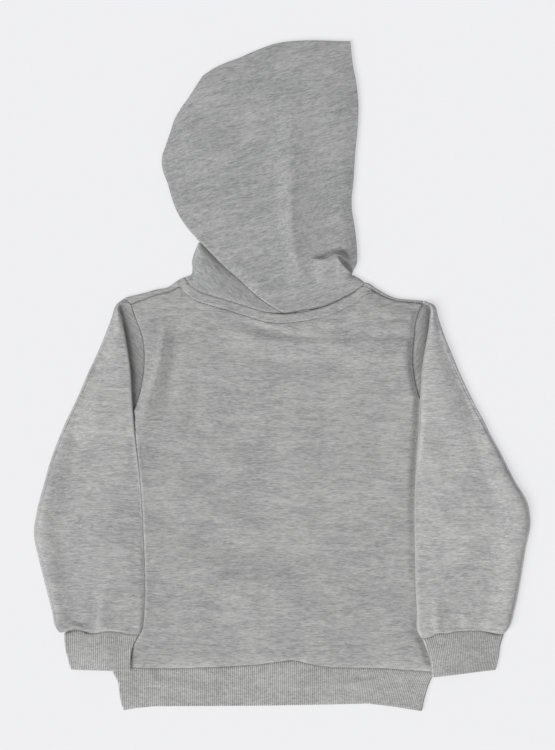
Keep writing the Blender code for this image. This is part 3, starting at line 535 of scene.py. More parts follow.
class Shell:
    """One piece of cloth: its middle surface, made of grids that share their edges, and then its wall."""

    def __init__(self, name: str, turn: float = 0.0) -> None:
        self.name = name
        self.turn = turn
        self.points: list[np.ndarray] = []
        self.faces: list[np.ndarray] = []
        self.count = 0

    def add(self, grid: np.ndarray, closed: bool = False) -> None:
        """Add a grid; the cloth's outer side is where its rows and columns wind to the left.

        Args:
            grid: Rows and columns of X, Y, Z, shown, tone with painted shade and highlights, rib phase and degrees
                that the grain turns.
            closed: Whether the last column joins the first.
        """
        rows, columns, channels = grid.shape
        points = np.zeros((rows, columns, GRAIN + 1))
        points[..., :channels] = grid[..., :GRAIN + 1]
        index = np.arange(rows * columns).reshape(rows, columns) + self.count
        if closed:
            index = np.concatenate([index, index[:, :1]], axis=1)
        corners = index[:-1, :-1], index[:-1, 1:], index[1:, 1:], index[1:, :-1]
        self.faces.append(np.stack(corners, -1).reshape(-1, 4))
        self.points.append(points.reshape(rows * columns, -1))
        self.count += rows * columns

    def weld(self) -> tuple[np.ndarray, np.ndarray, list[list[int]]]:
        """Join the points that the grids share, and drop the faces that come to nothing.

        Returns:
            The points with their channels, the faces of four corners and those of three.
        """
        points, faces = np.concatenate(self.points), np.concatenate(self.faces)
        _, first, place = np.unique(np.round(points[:, :3], 3), axis=0, return_index=True, return_inverse=True)
        faces = place.reshape(-1)[faces]
        size = np.array([len(set(face)) for face in faces.tolist()])
        used, corners = np.unique(faces[size > 2], return_inverse=True)
        faces, size = corners.reshape(-1, 4), size[size > 2]
        thirds = [list(dict.fromkeys(face)) for face in faces[size == 3].tolist()]
        return points[first][used], faces[size == 4], thirds

    def build(self, thickness: float = CLOTH, drawn: float = 0.45) -> bpy.types.Object:
        """Give the cloth its thickness and rounded edges, as one closed mesh.

        Args:
            thickness: Of the wall.
            drawn: How far the cloth's two sides draw in at an open edge, to round it.

        Returns:
            The linked object.
        """
        points, quads, thirds = self.weld()
        faces = quads.tolist() + thirds
        xyz, total = points[:, :3], len(points)
        normal = np.zeros_like(xyz)
        for corners in (quads, np.array(thirds, int).reshape(-1, 3)):
            start, middle, end = corners[:, 0], corners[:, -2], corners[:, -1]
            base = corners[:, 1] if corners.shape[1] == 4 else start
            across = np.cross(xyz[middle] - xyz[start], xyz[end] - xyz[base])
            for corner in corners.T:
                np.add.at(normal, corner, across)
        normal /= np.maximum(np.linalg.norm(normal, axis=1), TINY)[:, None]
        rim, inward = self.rim(faces, xyz)
        outer, inner = (xyz + normal * way * thickness / 2 + inward * drawn for way in (1, -1))
        for wall in (outer, inner):
            wall[:, 2] = np.maximum(wall[:, 2], 0)
        ends = sorted({k for pair in rim for k in pair})
        edge_at = {k: 2 * total + i for i, k in enumerate(ends)}
        solid = faces + [[k + total for k in reversed(face)] for face in faces]
        for start, end in rim:
            solid.append([end, start, edge_at[start], edge_at[end]])
            solid.append([edge_at[end], edge_at[start], start + total, end + total])
        vertices = np.concatenate([outer, inner, xyz[ends]]) * MM
        mesh = bpy.data.meshes.new(self.name)
        mesh.from_pydata(vertices.tolist(), [], solid)
        marks = np.concatenate([points, points, points[ends]])
        angle = np.radians(self.turn + marks[:, GRAIN])
        x, y, z = vertices.T
        wave = [uneven(x / MM, y / MM, ripple) * MM for ripple in GRAIN_WAVES]
        weave = np.column_stack([x * np.cos(angle) + y * np.sin(angle) + wave[0],
                                 y * np.cos(angle) - x * np.sin(angle) + wave[1], z])
        on_top = np.arange(len(vertices)) < total
        # The tone attribute carries the cloth's tone together with painted shade and painted highlights.
        for label, kind, key, values in (
                ("weave", "FLOAT_VECTOR", "vector", weave), ("tone", "FLOAT", "value", marks[:, TONE_AND_PAINTED_LIGHT]),
                ("rib_phase", "FLOAT", "value", marks[:, PHASE]),
                ("raised", "FLOAT", "value", on_top * marks[:, SHOWN])):
            layer = mesh.attributes.new(label, kind, "POINT")
            layer.data.foreach_set(key, np.ascontiguousarray(values, np.float32).ravel())
        mesh.shade_smooth()
        mesh.validate()
        return in_scene(self.name, mesh)

    @staticmethod
    def rim(faces: list[list[int]], xyz: np.ndarray) -> tuple[list[tuple[int, int]], np.ndarray]:
        """Find the open edges and, at each of their points, the way into the cloth."""
        once: dict[tuple[int, int], tuple[int, ...]] = {}
        for face in faces:
            for start, end in zip(face, face[1:] + face[:1]):
                key = (min(start, end), max(start, end))
                once[key] = () if key in once else (start, end)
        rim = [pair for pair in once.values() if pair]
        inward = np.zeros_like(xyz)
        open_points = {k for pair in rim for k in pair}
        for face in faces:
            here = [k for k in face if k in open_points]
            if here:
                inward[here] += xyz[face].mean(axis=0) - xyz[here]
        length = np.linalg.norm(inward, axis=1)
        inward[length > TINY] /= length[length > TINY][:, None]
        return rim, inward


def in_scene(name: str, data: bpy.types.ID) -> bpy.types.Object:
    """Link a new object into the scene."""
    made = bpy.data.objects.new(name, data)
    bpy.context.scene.collection.objects.link(made)
    return made


@dataclass(frozen=True)
class Layout:
    """How the pieces lie on each other: the sizes that more than one of them needs."""

    roll_cover: float = 3.7  # how far the back rolls down over the top of the hem band
    roll_length: float = 12.0
    roll_rise: float = LAYER + 0.2
    side_step: float = 13.5  # width over which a sleeve comes down from the body to the surface
    side_clear: float = 1.5
    front_scoop: float = 5.0  # how much deeper the front armhole is than the back one
    short_tuck: float = 5.0
    outer_rise: float = 0.4
    cuff_line: float = -258.0
    cuff_climb: float = 18.0
    side_rows: tuple[float, ...] = (-210.0, -130.0)
    side_columns: tuple[float, ...] = (0.0, 12.0, 23.0, 33.0, 43.0)
    middle_inset: float = 54.0
    middle_columns: int = 13
    waist: tuple[float, float] = (-180.0, -285.0)  # where the side seam's middle and end lie
    past_shoulder: float = 400.0

    def side_out(self, side: Side, y: np.ndarray | float) -> np.ndarray:
        """How far out the body's side seam lies at a height."""
        heights = (ARMS[side][-1].seam_y, *self.waist)
        return np.interp(-np.asarray(y, float), [-height for height in heights], SIDE_SEAM[side])

    def fold_out(self, side: Side, y: np.ndarray) -> np.ndarray:
        """How far out a sleeve's inner fold lies at a height."""
        rows = [(arm.seam_y, arm.fold) for arm in ARMS[side][1:]]
        rows += [(tube.fold_y, tube.fold) for tube in TUBES[side] + CUFFS[side][1:]]
        return np.interp(y, *zip(*rows[::-1]))

    def body_out(self, side: Side, y: np.ndarray) -> np.ndarray:
        """How far out the back shows at a height: to the armhole seam, or to the sleeve that lies on it."""
        seam = np.interp(y, *zip(*[(arm.seam_y, arm.seam) for arm in ARMS[side][::-1]]), left=self.past_shoulder)
        return np.minimum(self.fold_out(side, y), seam)

    def lying(self, side: Side, out: float, y: float) -> float:
        """Height of the lowest layer of a sleeve: on the body, and down on the surface beside it."""
        over = level(2) + (self.roll_rise + GAP / 3) * ease((self.cuff_line - y) / self.cuff_climb)
        reach = self.side_out(side, y) + self.side_clear + self.side_step - out
        return float(level(0) + (over - level(0)) * ease(reach / self.side_step))

    def covering(self, side: Side, out: float, y: float, outer: float) -> float:
        """Height of the upper layer of a sleeve, which falls gently all the way to its outer fold."""
        edge = float(self.side_out(side, y)) + self.side_clear
        gentle = level(0) + (self.lying(side, edge, y) - level(0)) * float(ease((outer - out) / (outer - edge)))
        return max(self.lying(side, out, y), gentle) + LAYER

    def side_edge(self, side: Side, scoop: float = 0.0) -> list[Point]:
        """A side of the body panels from hem to shoulder: side seam, then armhole."""
        arms = ARMS[side]
        edge = [(float(self.side_out(side, y)), y) for y in self.side_rows]
        for k, arm in enumerate(arms[::-1]):
            edge.append((arm.seam - scoop * math.sin(math.pi * k / (len(arms) - 1)), arm.seam_y))
        return [(side.value * out, y) for out, y in edge]

    def hem_line(self, x: np.ndarray) -> np.ndarray:
        """Where the back's lower edge is sewn to the hem band, hidden under the roll."""
        return np.interp(x, *zip(*ROLL_EDGE)) + self.roll_cover

    def back_columns(self) -> np.ndarray:
        """X of the back's columns along its lower edge."""
        left, right = SIDE_SEAM[Side.LEFT][2], SIDE_SEAM[Side.RIGHT][2]
        sides = np.array(self.side_columns)
        middle = np.linspace(self.middle_inset - left, right - self.middle_inset, self.middle_columns)
        return np.concatenate([sides - left, middle, right - sides[::-1]])

    def front_hem(self) -> np.ndarray:
        """The front's lower edge, from left to right."""
        columns = self.back_columns()
        ends = self.hem_line(columns[[0, -1]])
        return np.column_stack([columns, np.interp(columns, columns[[0, -1]], ends) + GAP])


@dataclass
class Back:
    """Back panel: its folds, its neck band and the roll over the hem band."""

    layout: Layout
    relief: Relief
    loft: float = 2.6
    cell: float = 2.1
    band_cell: float = 0.8
    band_width: float = 9.4
    band_margin: float = 0.6  # cloth below the band's edge, where the band ends
    band_rise: float = 0.9
    band_groove: float = 0.8
    band_shade: float = 0.35
    band_reach: float = 0.75
    band_past: float = 9.0  # any share over 1, for the cloth below the band
    band_step: Pair = (1.02, 0.09)  # in shares of the band's width
    groove_width: float = 0.07  # as such a share
    band_pale: float = 0.05
    neck_span: Span = (-118, 106, 24, 24)  # X where the band's edge runs square to the neck
    band_span: Span = (-103.5, 92, 9, 10)  # X where the band has its width
    shade_span: Span = (-106, 94, 4, 4)
    left_end: Span = (-103, -94.5, 1.5, 1.5)
    right_end: Span = (80.5, 89.5, 1.5, 1.5)
    nape_span: Span = (-6, 40, 8, 14)  # X where the neck seam lies deepest
    neck_shade: Pair = (0.5, 0.2)  # of the neck seam, and how much more at the nape
    neck_reach: Pair = (1.0, 0.3)
    side_inset: float = 2.5  # how far in from each side one more column lies
    side_cell: float = 0.7
    fold_cells: tuple[float, ...] = (0.8, 1.1, 1.1, 1.2, 1.2)  # beside the sleeves' inner folds
    fold_clear: float = 0.1
    fold_fade: Pair = (1.2, 8.0)  # beside the left and the right sleeve
    fold_bulge: float = 2.0
    bulge_reach: float = 12.0
    bulge_from: Pair = (40.0, 30.0)  # down from the middle
    hem_relief: float = 0.25  # share of the folds that is left at the hem
    lowest: float = -0.1  # that its folds may go below its layer
    neck_fade: float = 14.0
    hem_fade: float = 8.0
    seam_depth: float = 0.75
    seam_round: float = 2.4
    arm_depth: float = 0.6
    arm_round: float = 2.0
    arm_from: Pair = (-60.0, 20.0)  # up from the middle, for the armhole seam
    painted_sleeve_highlight: float = 0.15  # painted highlight along the left sleeve's inner fold
    highlight_from: Pair = (50.0, 40.0)  # down from the middle
    # Painted highlight along the crest of the roll over the hem band.
    painted_roll_highlight: float = 0.12
    roll_cells: int = 6
    roll_flat: float = 0.62  # share of the roll's length over which it rises

    def neck_band(self, top: np.ndarray) -> np.ndarray:
        """Row of places along the lower edge of the neck band, and level with it on the shoulders."""
        ahead = np.gradient(top, axis=0)
        down = unit(np.column_stack([ahead[:, 1], -ahead[:, 0]]))
        inside = between(top[:, :1], *self.neck_span)
        down = down * inside + np.array([0.0, -1.0]) * (1 - inside)
        return top + down * (self.band_width * self.banded(top[:, :1]) + self.band_margin)

    def banded(self, x: np.ndarray) -> np.ndarray:
        """How much of the neck band's width there is below each place of the top edge."""
        return between(x, *self.band_span)

    def grid(self) -> tuple[np.ndarray, np.ndarray]:
        """Places of the panel above its roll, and the share of the neck band's width down to each."""
        lay = self.layout
        columns = lay.back_columns()
        start = np.column_stack([columns, np.interp(columns, *zip(*ROLL_EDGE)) + lay.roll_length])
        left, right = ([end] + lay.side_edge(side) for end, side in zip(start[[0, -1]], Side))
        top = SHOULDER_SEAM[Side.LEFT] + NECK_LEFT[1:] + NECK_RIGHT[1:] + SHOULDER_SEAM[Side.RIGHT][-2::-1]
        grid = patch(start, top, left, right)
        band = self.neck_band(grid[-1])
        band[0], band[-1] = left[-2], right[-2]
        grid = np.concatenate([grid[:-2], band[None], grid[-1:]])
        grid = at_height(near_edge(near_edge(grid, self.side_inset, 1), self.side_inset, 1, last=True), 0.0)
        across = np.full(grid.shape[1] - 1, self.cell)
        across[[0, -1]] = self.side_cell
        across[[3, 4, 5, -4, -3]] = self.fold_cells
        grid = refine(refine(grid, across, 1), [self.cell] * (len(grid) - 2) + [self.band_cell], 0)
        cells = int(np.ceil(np.linalg.norm(band - top, axis=1).max() / self.band_cell))
        down = np.full(grid.shape[:2], self.band_past)
        down[-cells - 1:] = np.linspace(1, 0, cells + 1)[:, None]
        return grid, down

    def build(self) -> bpy.types.Object:
        """Make the panel.

        Returns:
            Its finished object.
        """
        lay = self.layout
        grid, down = self.grid()
        x, y = grid[..., 0], grid[..., 1]
        top_x = grid[-1, :, 0]
        neck = self.banded(top_x)
        from_left = x + lay.body_out(Side.LEFT, y)
        clear = ease((from_left - self.fold_clear) / self.fold_fade[0])
        clear = clear * ease((lay.body_out(Side.RIGHT, y) - self.fold_clear - x) / self.fold_fade[1])
        below = ease((np.interp(x, *grid[-1, :, :2].T) - y - 1) / self.neck_fade)
        hem = ease((y - grid[0, :, 1][None]) / self.hem_fade)
        beside = np.exp(-np.maximum(from_left, 0) / self.bulge_reach) * onset(-y, self.bulge_from) * hem
        loft = self.loft + self.fold_bulge * beside
        folds = (self.hem_relief + (1 - self.hem_relief) * hem) * self.relief.at(grid)
        height = level(1) + clear * below * np.maximum(loft + folds, self.lowest)
        height = height + self.band_rise * neck * ease((self.band_step[0] - down) / self.band_step[1])
        height = height - self.band_groove * neck * bell(down - 1.0, self.groove_width)
        lift = height[0] - level(1)
        seam = edge_distance(grid, 0, last=True)
        arm = np.minimum(edge_distance(grid, 1), edge_distance(grid, 1, last=True))
        high = onset(y, self.arm_from)
        right_end = between(top_x, *self.right_end)
        band_ends = right_end + between(top_x, *self.left_end)
        height = height - self.seam_depth * (1 - right_end) * (1 - rolled(seam, self.seam_round))
        height = height - self.arm_depth * high * (1 - rolled(arm, self.arm_round))
        nape = between(x, *self.nape_span)
        # Painted shade along the neck seam, more of it at the nape.
        painted_neck_shade = 1 - painted_shade(seam, *(least + more * nape for least, more in (self.neck_shade, self.neck_reach)))
        along_band = between(top_x, *self.shade_span)
        wide = self.band_margin + self.band_width * neck
        tone = 1 - self.band_shade * along_band * bell((down - 1.0) * wide, self.band_reach)
        tone = (1 + self.band_pale * neck * (down < 1)) * tone
        # Painted shade along the neck seam, though not under the band's ends, and along the armhole seam.
        tone = tone * (1 - painted_neck_shade * (1 - band_ends)) * (1 - high * (1 - painted_shade(arm)))
        # Painted highlight on the back beside the left sleeve's inner fold, where the sleeve's shade falls.
        painted_highlight = self.painted_sleeve_highlight * onset(-y, self.highlight_from) * bell(from_left, 1.0)
        tone *= self.relief.tone(grid) * (1 + painted_highlight)
        shell = Shell("fleece_back")
        shell.add(with_marks(at_height(grid[..., :2], height), 1.0, tone))
        roll = self.roll(grid[0, :, :2], lift)
        # Painted highlight along the crest of the roll.
        crest = 1 + self.painted_roll_highlight * bell(np.arange(len(roll)) - self.roll_cells, 2.0)
        shell.add(with_marks(roll, 1.0, crest[:, None]))
        return shell.build()

    def roll(self, start: np.ndarray, lift: np.ndarray) -> np.ndarray:
        """Rows of the back's lower edge, from its rolled end on the hem band up to where it starts.

        Args:
            start: Where each of its columns starts.
            lift: How high the cloth stands over its lowest place where the roll starts.

        Returns:
            The rows, lowest first.
        """
        lay = self.layout
        parts = np.linspace(1, 1 - self.roll_flat, self.roll_cells + 1)
        profile = [(lay.roll_length * part, float(ease((1 - part) / self.roll_flat)), 0.0) for part in parts]
        for angle in (math.pi / 2 * step / self.roll_cells for step in range(self.roll_cells + 1)):
            profile.append((HALF + TURN * (1 - math.sin(angle)), 1.0, TURN * (1 - math.cos(angle))))
        return np.array([at_height(start + (0, up - lay.roll_length),
                                   level(1) + lift + (lay.roll_rise - lift) * share - fall)
                         for up, share, fall in profile[::-1]])


@dataclass
class Front:
    """Front panel, flat on the surface, with its shoulders folded over the top to the shoulder seams."""

    layout: Layout
    relief: Relief
    cell: float = 3.4
    overlap: float = 1.1
    most_relief: float = 0.6
    parts_to_seam: tuple[float, ...] = (0.35, 0.7, 0.9, 1.0)

    def shoulder(self, side: Side, inner: np.ndarray) -> np.ndarray:
        """Grid from the front's top edge over the fold to the shoulder seam on the back.

        Args:
            side: Which shoulder.
            inner: The front's top edge along it, armhole to neck.

        Returns:
            Rows from the front up and over to the seam.
        """
        seam = resample(SHOULDER_SEAM[side], len(inner))
        across = unit(inner[:, :2] - seam)
        rows = turn_over(inner, across)
        last = at_height(seam + across * GAP, level(1))
        onward = last[-1] - last[-2]
        onward /= np.linalg.norm(onward)
        rows = np.concatenate([rows, [rows[-1] + (last - rows[-1]) * part for part in self.parts_to_seam]])
        rows[:, -1] += onward * self.overlap * ease(np.linspace(0, 3, len(rows)))[:, None]
        end, fade = BAND_ENDS[side]
        beyond = side.value * rows[..., 0] - end
        to_seam = edge_distance(rows, 0, last=True)
        # Painted shade along the shoulder seam past the neck band, and where the band ends.
        tone = 1 - (1 - painted_shade(to_seam)) * ease(beyond / fade + 0.5)
        return with_marks(rows, 1.0, tone * painted_shade(beyond + 0.1 * to_seam, 0.4, 0.8))

    def build(self) -> bpy.types.Object:
        """Make the panel.

        Returns:
            Its finished object.
        """
        lay, hem = self.layout, self.layout.front_hem()
        inner, sides = {}, []
        for side, end in zip(Side, hem[[0, -1]]):
            folds = np.array(SHOULDER_FOLD[side])
            inner[side] = folds - unit(folds - np.array(SHOULDER_SEAM[side])) * TURN
            sides.append([end] + lay.side_edge(side, lay.front_scoop)[:-1] + [tuple(inner[side][0])])
        neck = FRONT_NECK_LEFT[1:] + FRONT_NECK_RIGHT[1:-1]
        top = np.concatenate([inner[Side.LEFT], neck, inner[Side.RIGHT][::-1]])
        coarse = refine(at_height(patch(hem, top, *sides), 0.0), self.cell, 0)
        grid = refine(coarse, self.cell, 1)
        steps = np.linalg.norm(np.diff(coarse, axis=1), axis=-1).max(axis=0)
        stops = np.concatenate(([0], np.cumsum(np.maximum(1, np.ceil(steps / self.cell))))).astype(int)
        grid[..., 2] = level(0) + off_edges(grid.shape) * np.clip(self.relief.at(grid), 0, self.most_relief)
        shell = Shell("fleece_front")
        shell.add(with_marks(grid[:, ::-1], 1.0, 1.0))
        first, last = stops[len(inner[Side.LEFT]) - 1], stops[-len(inner[Side.RIGHT])]
        shell.add(self.shoulder(Side.LEFT, grid[-1, :first + 1])[:, ::-1])
        shell.add(self.shoulder(Side.RIGHT, grid[-1, last:][::-1]))
        return shell.build()


@dataclass
class Sleeve:
    """One sleeve: its head sewn round the armhole, and the tube down to the cuff.

    A section has 31 columns: to 12 along the back seam and round the inner fold, to 20 over the top,
    to 24 round the outer fold, and the rest back below.
    """

    side: Side
    layout: Layout
    relief: Relief
    under: Relief
    loft: float = 1.6
    cell: float = 2.0
    hidden_cell: float = 3.4
    underarm: tuple[float, float, float] = (5.5, -1.0, -6.0)
    gore_turn: float = 50.0
    gore_shade: float = 0.36  # the part of the head that shows between its seam and its inner fold
    gore_near: float = 0.75
    gore_start: float = 4.0
    near_from: Pair = (2, 3)  # in rows
    gore_lift: float = 2.4
    gore_rows: int = 10
    pale: float = 1.05
    rim: float = 0.2  # painted highlight along the inner fold
    rim_in: float = 0.3
    outer_rim: float = 0.0  # painted highlight along the outer fold
    top_shade: float = 0.0
    rim_from: Pair = (30.0, 30.0)  # down from the middle
    outer_reach: Pair = (1.7, 4.5)  # of the outer fold's painted highlight, on the lower and the upper part
    outer_share: float = 0.45  # of it on the upper part
    top_reach: float = 9.0
    end_shade: Pair = (0.3, 0.7)  # of the seam to the cuff, and its reach
    lower_from: Pair = (-40.0, 50.0)  # down from the middle, for the lower part
    lowest: float = -1.6  # that its folds may go
    most_hidden: float = 0.5  # that the folds below may rise
    fold_cell: float = 0.6
    seam_cell: float = 1.1
    end_cell: float = 0.7
    pressed_in: float = 2.6  # how far in from the outer fold the pressed line lies
    pressed_width: float = 0.6
    pressed_depth: float = 0.5
    pressed_shade: float = 0.3
    end_row: float = 2.6  # how far above its lower end its last row lies
    puffed: tuple[tuple[float, float], ...] = ((1.0, LAYER + 0.1), (0.7, LAYER + 1.5), (0.35, 3.0), (0.0, 1.4),
                                               (0.0, 0.4))

    def head(self, arm: Arm, front: float) -> list[tuple[float, float, float]]:
        """Section of a sleeve head: from the back armhole, under the fold, over the top and round to the front."""
        lay = self.layout
        sweep = math.radians(arm.sweep)
        first = arc((0, 0), 0, sweep, TURN, 3)
        straight = (first[-1][0] + arm.tuck * math.cos(sweep), first[-1][1] + arm.tuck * math.sin(sweep))
        second = arc(straight, sweep, -sweep, TURN, 4)
        nearest = straight[0] if arm.sweep <= 90 else min(point[0] for point in second)
        begin = max(arm.fold + HALF - nearest, arm.seam + GAP + 0.3)
        middle = ((first[-1][0] + straight[0]) / 2, (first[-1][1] + straight[1]) / 2)
        path = [(s, level(1)) for s in np.linspace(arm.seam + GAP, begin, 4)]
        path += [(begin + s, level(1) + z) for s, z in [*first, middle, straight, *second]]
        top_s, top_z = path[-1]
        standing = (top_z - level(1)) / LAYER if arm.tuck < lay.short_tuck else 0.0
        end_z = min(top_z, level(1) + standing + lay.outer_rise)
        radius = (end_z - level(0)) / 2
        end_s = arm.outer - HALF - radius
        drop_from = begin + TURN + CLOTH + GAP
        if end_s <= drop_from + 1:
            drop_from = top_s
        run = np.linspace(top_s, end_s, 9)[1:]
        fall = ease((run - drop_from) / (end_s - drop_from))
        path += [(s, top_z + (end_z - top_z) * part) for s, part in zip(run, fall)]
        path += arc(path[-1], 0, -math.pi, radius, 4)
        path += [(s, level(0)) for s in np.linspace(end_s, min(end_s - GAP, front), 7)[1:]]
        slope = (arm.outer_y - arm.seam_y) / max(arm.outer - arm.seam, 1)
        return [(s, arm.seam_y + slope * (s - arm.seam), z) for s, z in path]

    def tube(self, tube: Tube, seam: float) -> list[tuple[float, float, float]]:
        """Section of a sleeve below the underarm: from the underarm seam round its inner and outer folds."""
        lay, side = self.layout, self.side
        slope = (tube.outer_y - tube.fold_y) / (tube.outer - tube.fold)

        def height_y(out: float) -> float:
            return tube.fold_y + slope * (out - tube.fold)

        def lying(run: Sequence[float]) -> list[Point]:
            return [(s, lay.lying(side, s, height_y(s))) for s in run]

        inner, outer = tube.fold + HALF + TURN, tube.outer - HALF - TURN
        edge = float(lay.side_out(side, tube.fold_y)) + lay.side_clear
        up = [edge, edge + lay.side_step / 2, edge + lay.side_step]
        past = seam > edge
        path = lying(stretches([seam, edge, inner], [6, 2]) if past else np.linspace(seam, inner, 9))
        path += arc(path[-1], math.pi, -math.pi, TURN, 4)
        run = stretches([inner, *up, outer], [4, 1, 1, 2])[1:]
        path += [(s, lay.covering(side, s, height_y(s), outer)) for s in run]
        path += arc(path[-1], 0, -math.pi, TURN, 4)
        back = [outer, up[2], seam + GAP] if past else [outer, *up[::-1], seam + GAP]
        path += lying(stretches(back, [3, 3] if past else [3, 1, 1, 1])[1:])
        return [(s, height_y(s), z) for s, z in path]

    def form(self) -> np.ndarray:
        """Rows of sections from the shoulder down to the cuff, as in the sleeve's solid."""
        arms, tubes = ARMS[self.side], TUBES[self.side]
        rows = []
        for k, arm in enumerate(arms):
            scoop = self.layout.front_scoop * math.sin(math.pi * k / (len(arms) - 1))
            rows.append(self.head(arm, arm.seam + GAP - scoop if k else arm.outer))
        top = SIDE_SEAM[self.side][0]
        seams = [top + offset for offset in self.underarm[:-1]]
        seams += list(np.linspace(top + self.underarm[-1], CUFF_SEAM[self.side], len(tubes) - 2))
        rows += [self.tube(tube, seam) for tube, seam in zip(tubes, seams)]
        grid = np.array(rows)
        grid[..., 0] *= self.side.value
        grid[0, :, 1] -= 1.5 * GAP
        across = swell(np.linspace(0, 1, 10)[1:-1])
        grid[:, 13:21, 2] += self.loft * across * swell(climb(len(rows)), 0.6)
        return grid

    def marked(self) -> tuple[np.ndarray, np.ndarray]:
        """The form with its channels, and how far each of its columns is on the side that shows."""
        grid = self.form()
        columns, rows = np.arange(grid.shape[1]), np.arange(len(grid))[:, None]
        turn = self.side.value * self.gore_turn
        shown = np.interp(columns, [11, 13.5, 19.5, 22], [0, 1, 1, 0])
        below = np.interp(columns, [23, 25, 29, 30], [0, 1, 1, 0])
        turned = np.interp(columns, [9, 11], [turn, 0])
        # Painted shade in the gore, the part of the head between its armhole seam and its inner fold, darker towards
        # the fold.
        near = self.gore_near * onset(rows, self.near_from)
        deep = ease(rows / self.gore_start) * (near + (1 - near) * np.interp(columns, [0, 3], [0, 1]))
        tone = 1 - self.gore_shade * deep * np.interp(columns, [10, 11.3], [1, 0]) * (rows < self.gore_rows + 2)
        ends = swell(climb(len(grid)), 0.25)
        ends[-2] = 1
        grid = with_marks(grid, shown * ends, tone, 0.0, turned, below * ends)
        lift = self.gore_lift * swell(rows / self.gore_rows, 0.7)
        grid[..., 2] += lift * np.interp(columns, [3, 7, 12, 14, 21], [0, 0.4, 1, 1, 0]) * (rows < self.gore_rows)
        return grid, shown

    def build(self, name: str) -> bpy.types.Object:
        """Make the sleeve.

        Args:
            name: Of the piece.

        Returns:
            Its finished object.
        """
        side = self.side.value
        grid, shown = self.marked()
        grid = self.puff(near_edge(grid, self.end_row, 0, last=True), shown)
        cells = np.full(grid.shape[1] - 1, self.cell)
        cells[4:9] = cells[24:] = self.hidden_cell
        cells[[9, 10, 11, 21, 22, 23]] = self.fold_cell
        cells[[0, 1, 2, 8, 12, 20, 24]] = self.seam_cell
        grid = refine(refine(grid, cells, 1), [self.cell] * (len(grid) - 2) + [self.end_cell], 0)
        upper, below = (np.clip(grid[..., k], 0, 1) for k in (SHOWN, BELOW))
        folds, hidden_folds = self.relief.at(grid), self.under.at(grid)
        grid[..., 2] += upper * np.maximum(folds, self.lowest)
        grid[..., 2] += below * np.clip(hidden_folds, 0, self.most_hidden)
        out, y = side * grid[..., 0], grid[..., 1]
        inset = out.max(axis=1)[:, None] - out
        lower = onset(-y, self.lower_from)
        pressed_and_shaded = np.where(inset < 6, bell(inset - self.pressed_in, self.pressed_width), 0)
        pressed_and_shaded = pressed_and_shaded * (grid[..., 2] > level(1) - 0.3) * lower
        grid[..., 2] -= self.pressed_depth * pressed_and_shaded
        from_top = edge_distance(grid, 0)
        # Painted highlight along the outer fold, narrow low on the sleeve and wider near the head.
        narrow, wide = (bell(inset, reach) for reach in self.outer_reach)
        outer = lower * narrow + self.outer_share * (1 - lower) * ease(from_top / 10) * wide
        turned = out - self.layout.fold_out(self.side, y)
        # The upper layer is paler, with painted shade in the pressed line and along the folds.
        tone = (1 + (self.pale - 1) * upper) * (1 - self.pressed_shade * pressed_and_shaded) * self.relief.tone(grid)
        # Painted highlight along the outer fold, and painted shade at the top of the head.
        tone *= (1 + self.outer_rim * outer) * painted_shade(from_top, self.top_shade, self.top_reach)
        # Painted highlight along the inner fold.
        tone *= 1 + self.rim * onset(-y, self.rim_from) * bell(turned - self.rim_in, 1.0)
        # Painted shade along the seam to the cuff and along the sleeve's seam on the back.
        end = painted_shade(edge_distance(grid, 0, last=True), *self.end_shade)
        grid[..., TONE_AND_PAINTED_LIGHT] *= tone * painted_shade(edge_distance(grid, 1)) * end
        shell = Shell(name)
        shell.add(grid[:, ::-side])
        return shell.build()

    def puff(self, grid: np.ndarray, shown: np.ndarray) -> np.ndarray:
        """Let the upper layer's lower end puff up and lie over the top of the cuff."""
        shift = shown * (np.interp(grid[-1, :, 0], *zip(*SLEEVE_ENDS[self.side])) - grid[-1, :, 1])
        for k, (share, rise) in enumerate(self.puffed, 1):
            grid[-k, :, 1] += share * shift
            grid[-k, :, 2] += rise * shown
        return grid


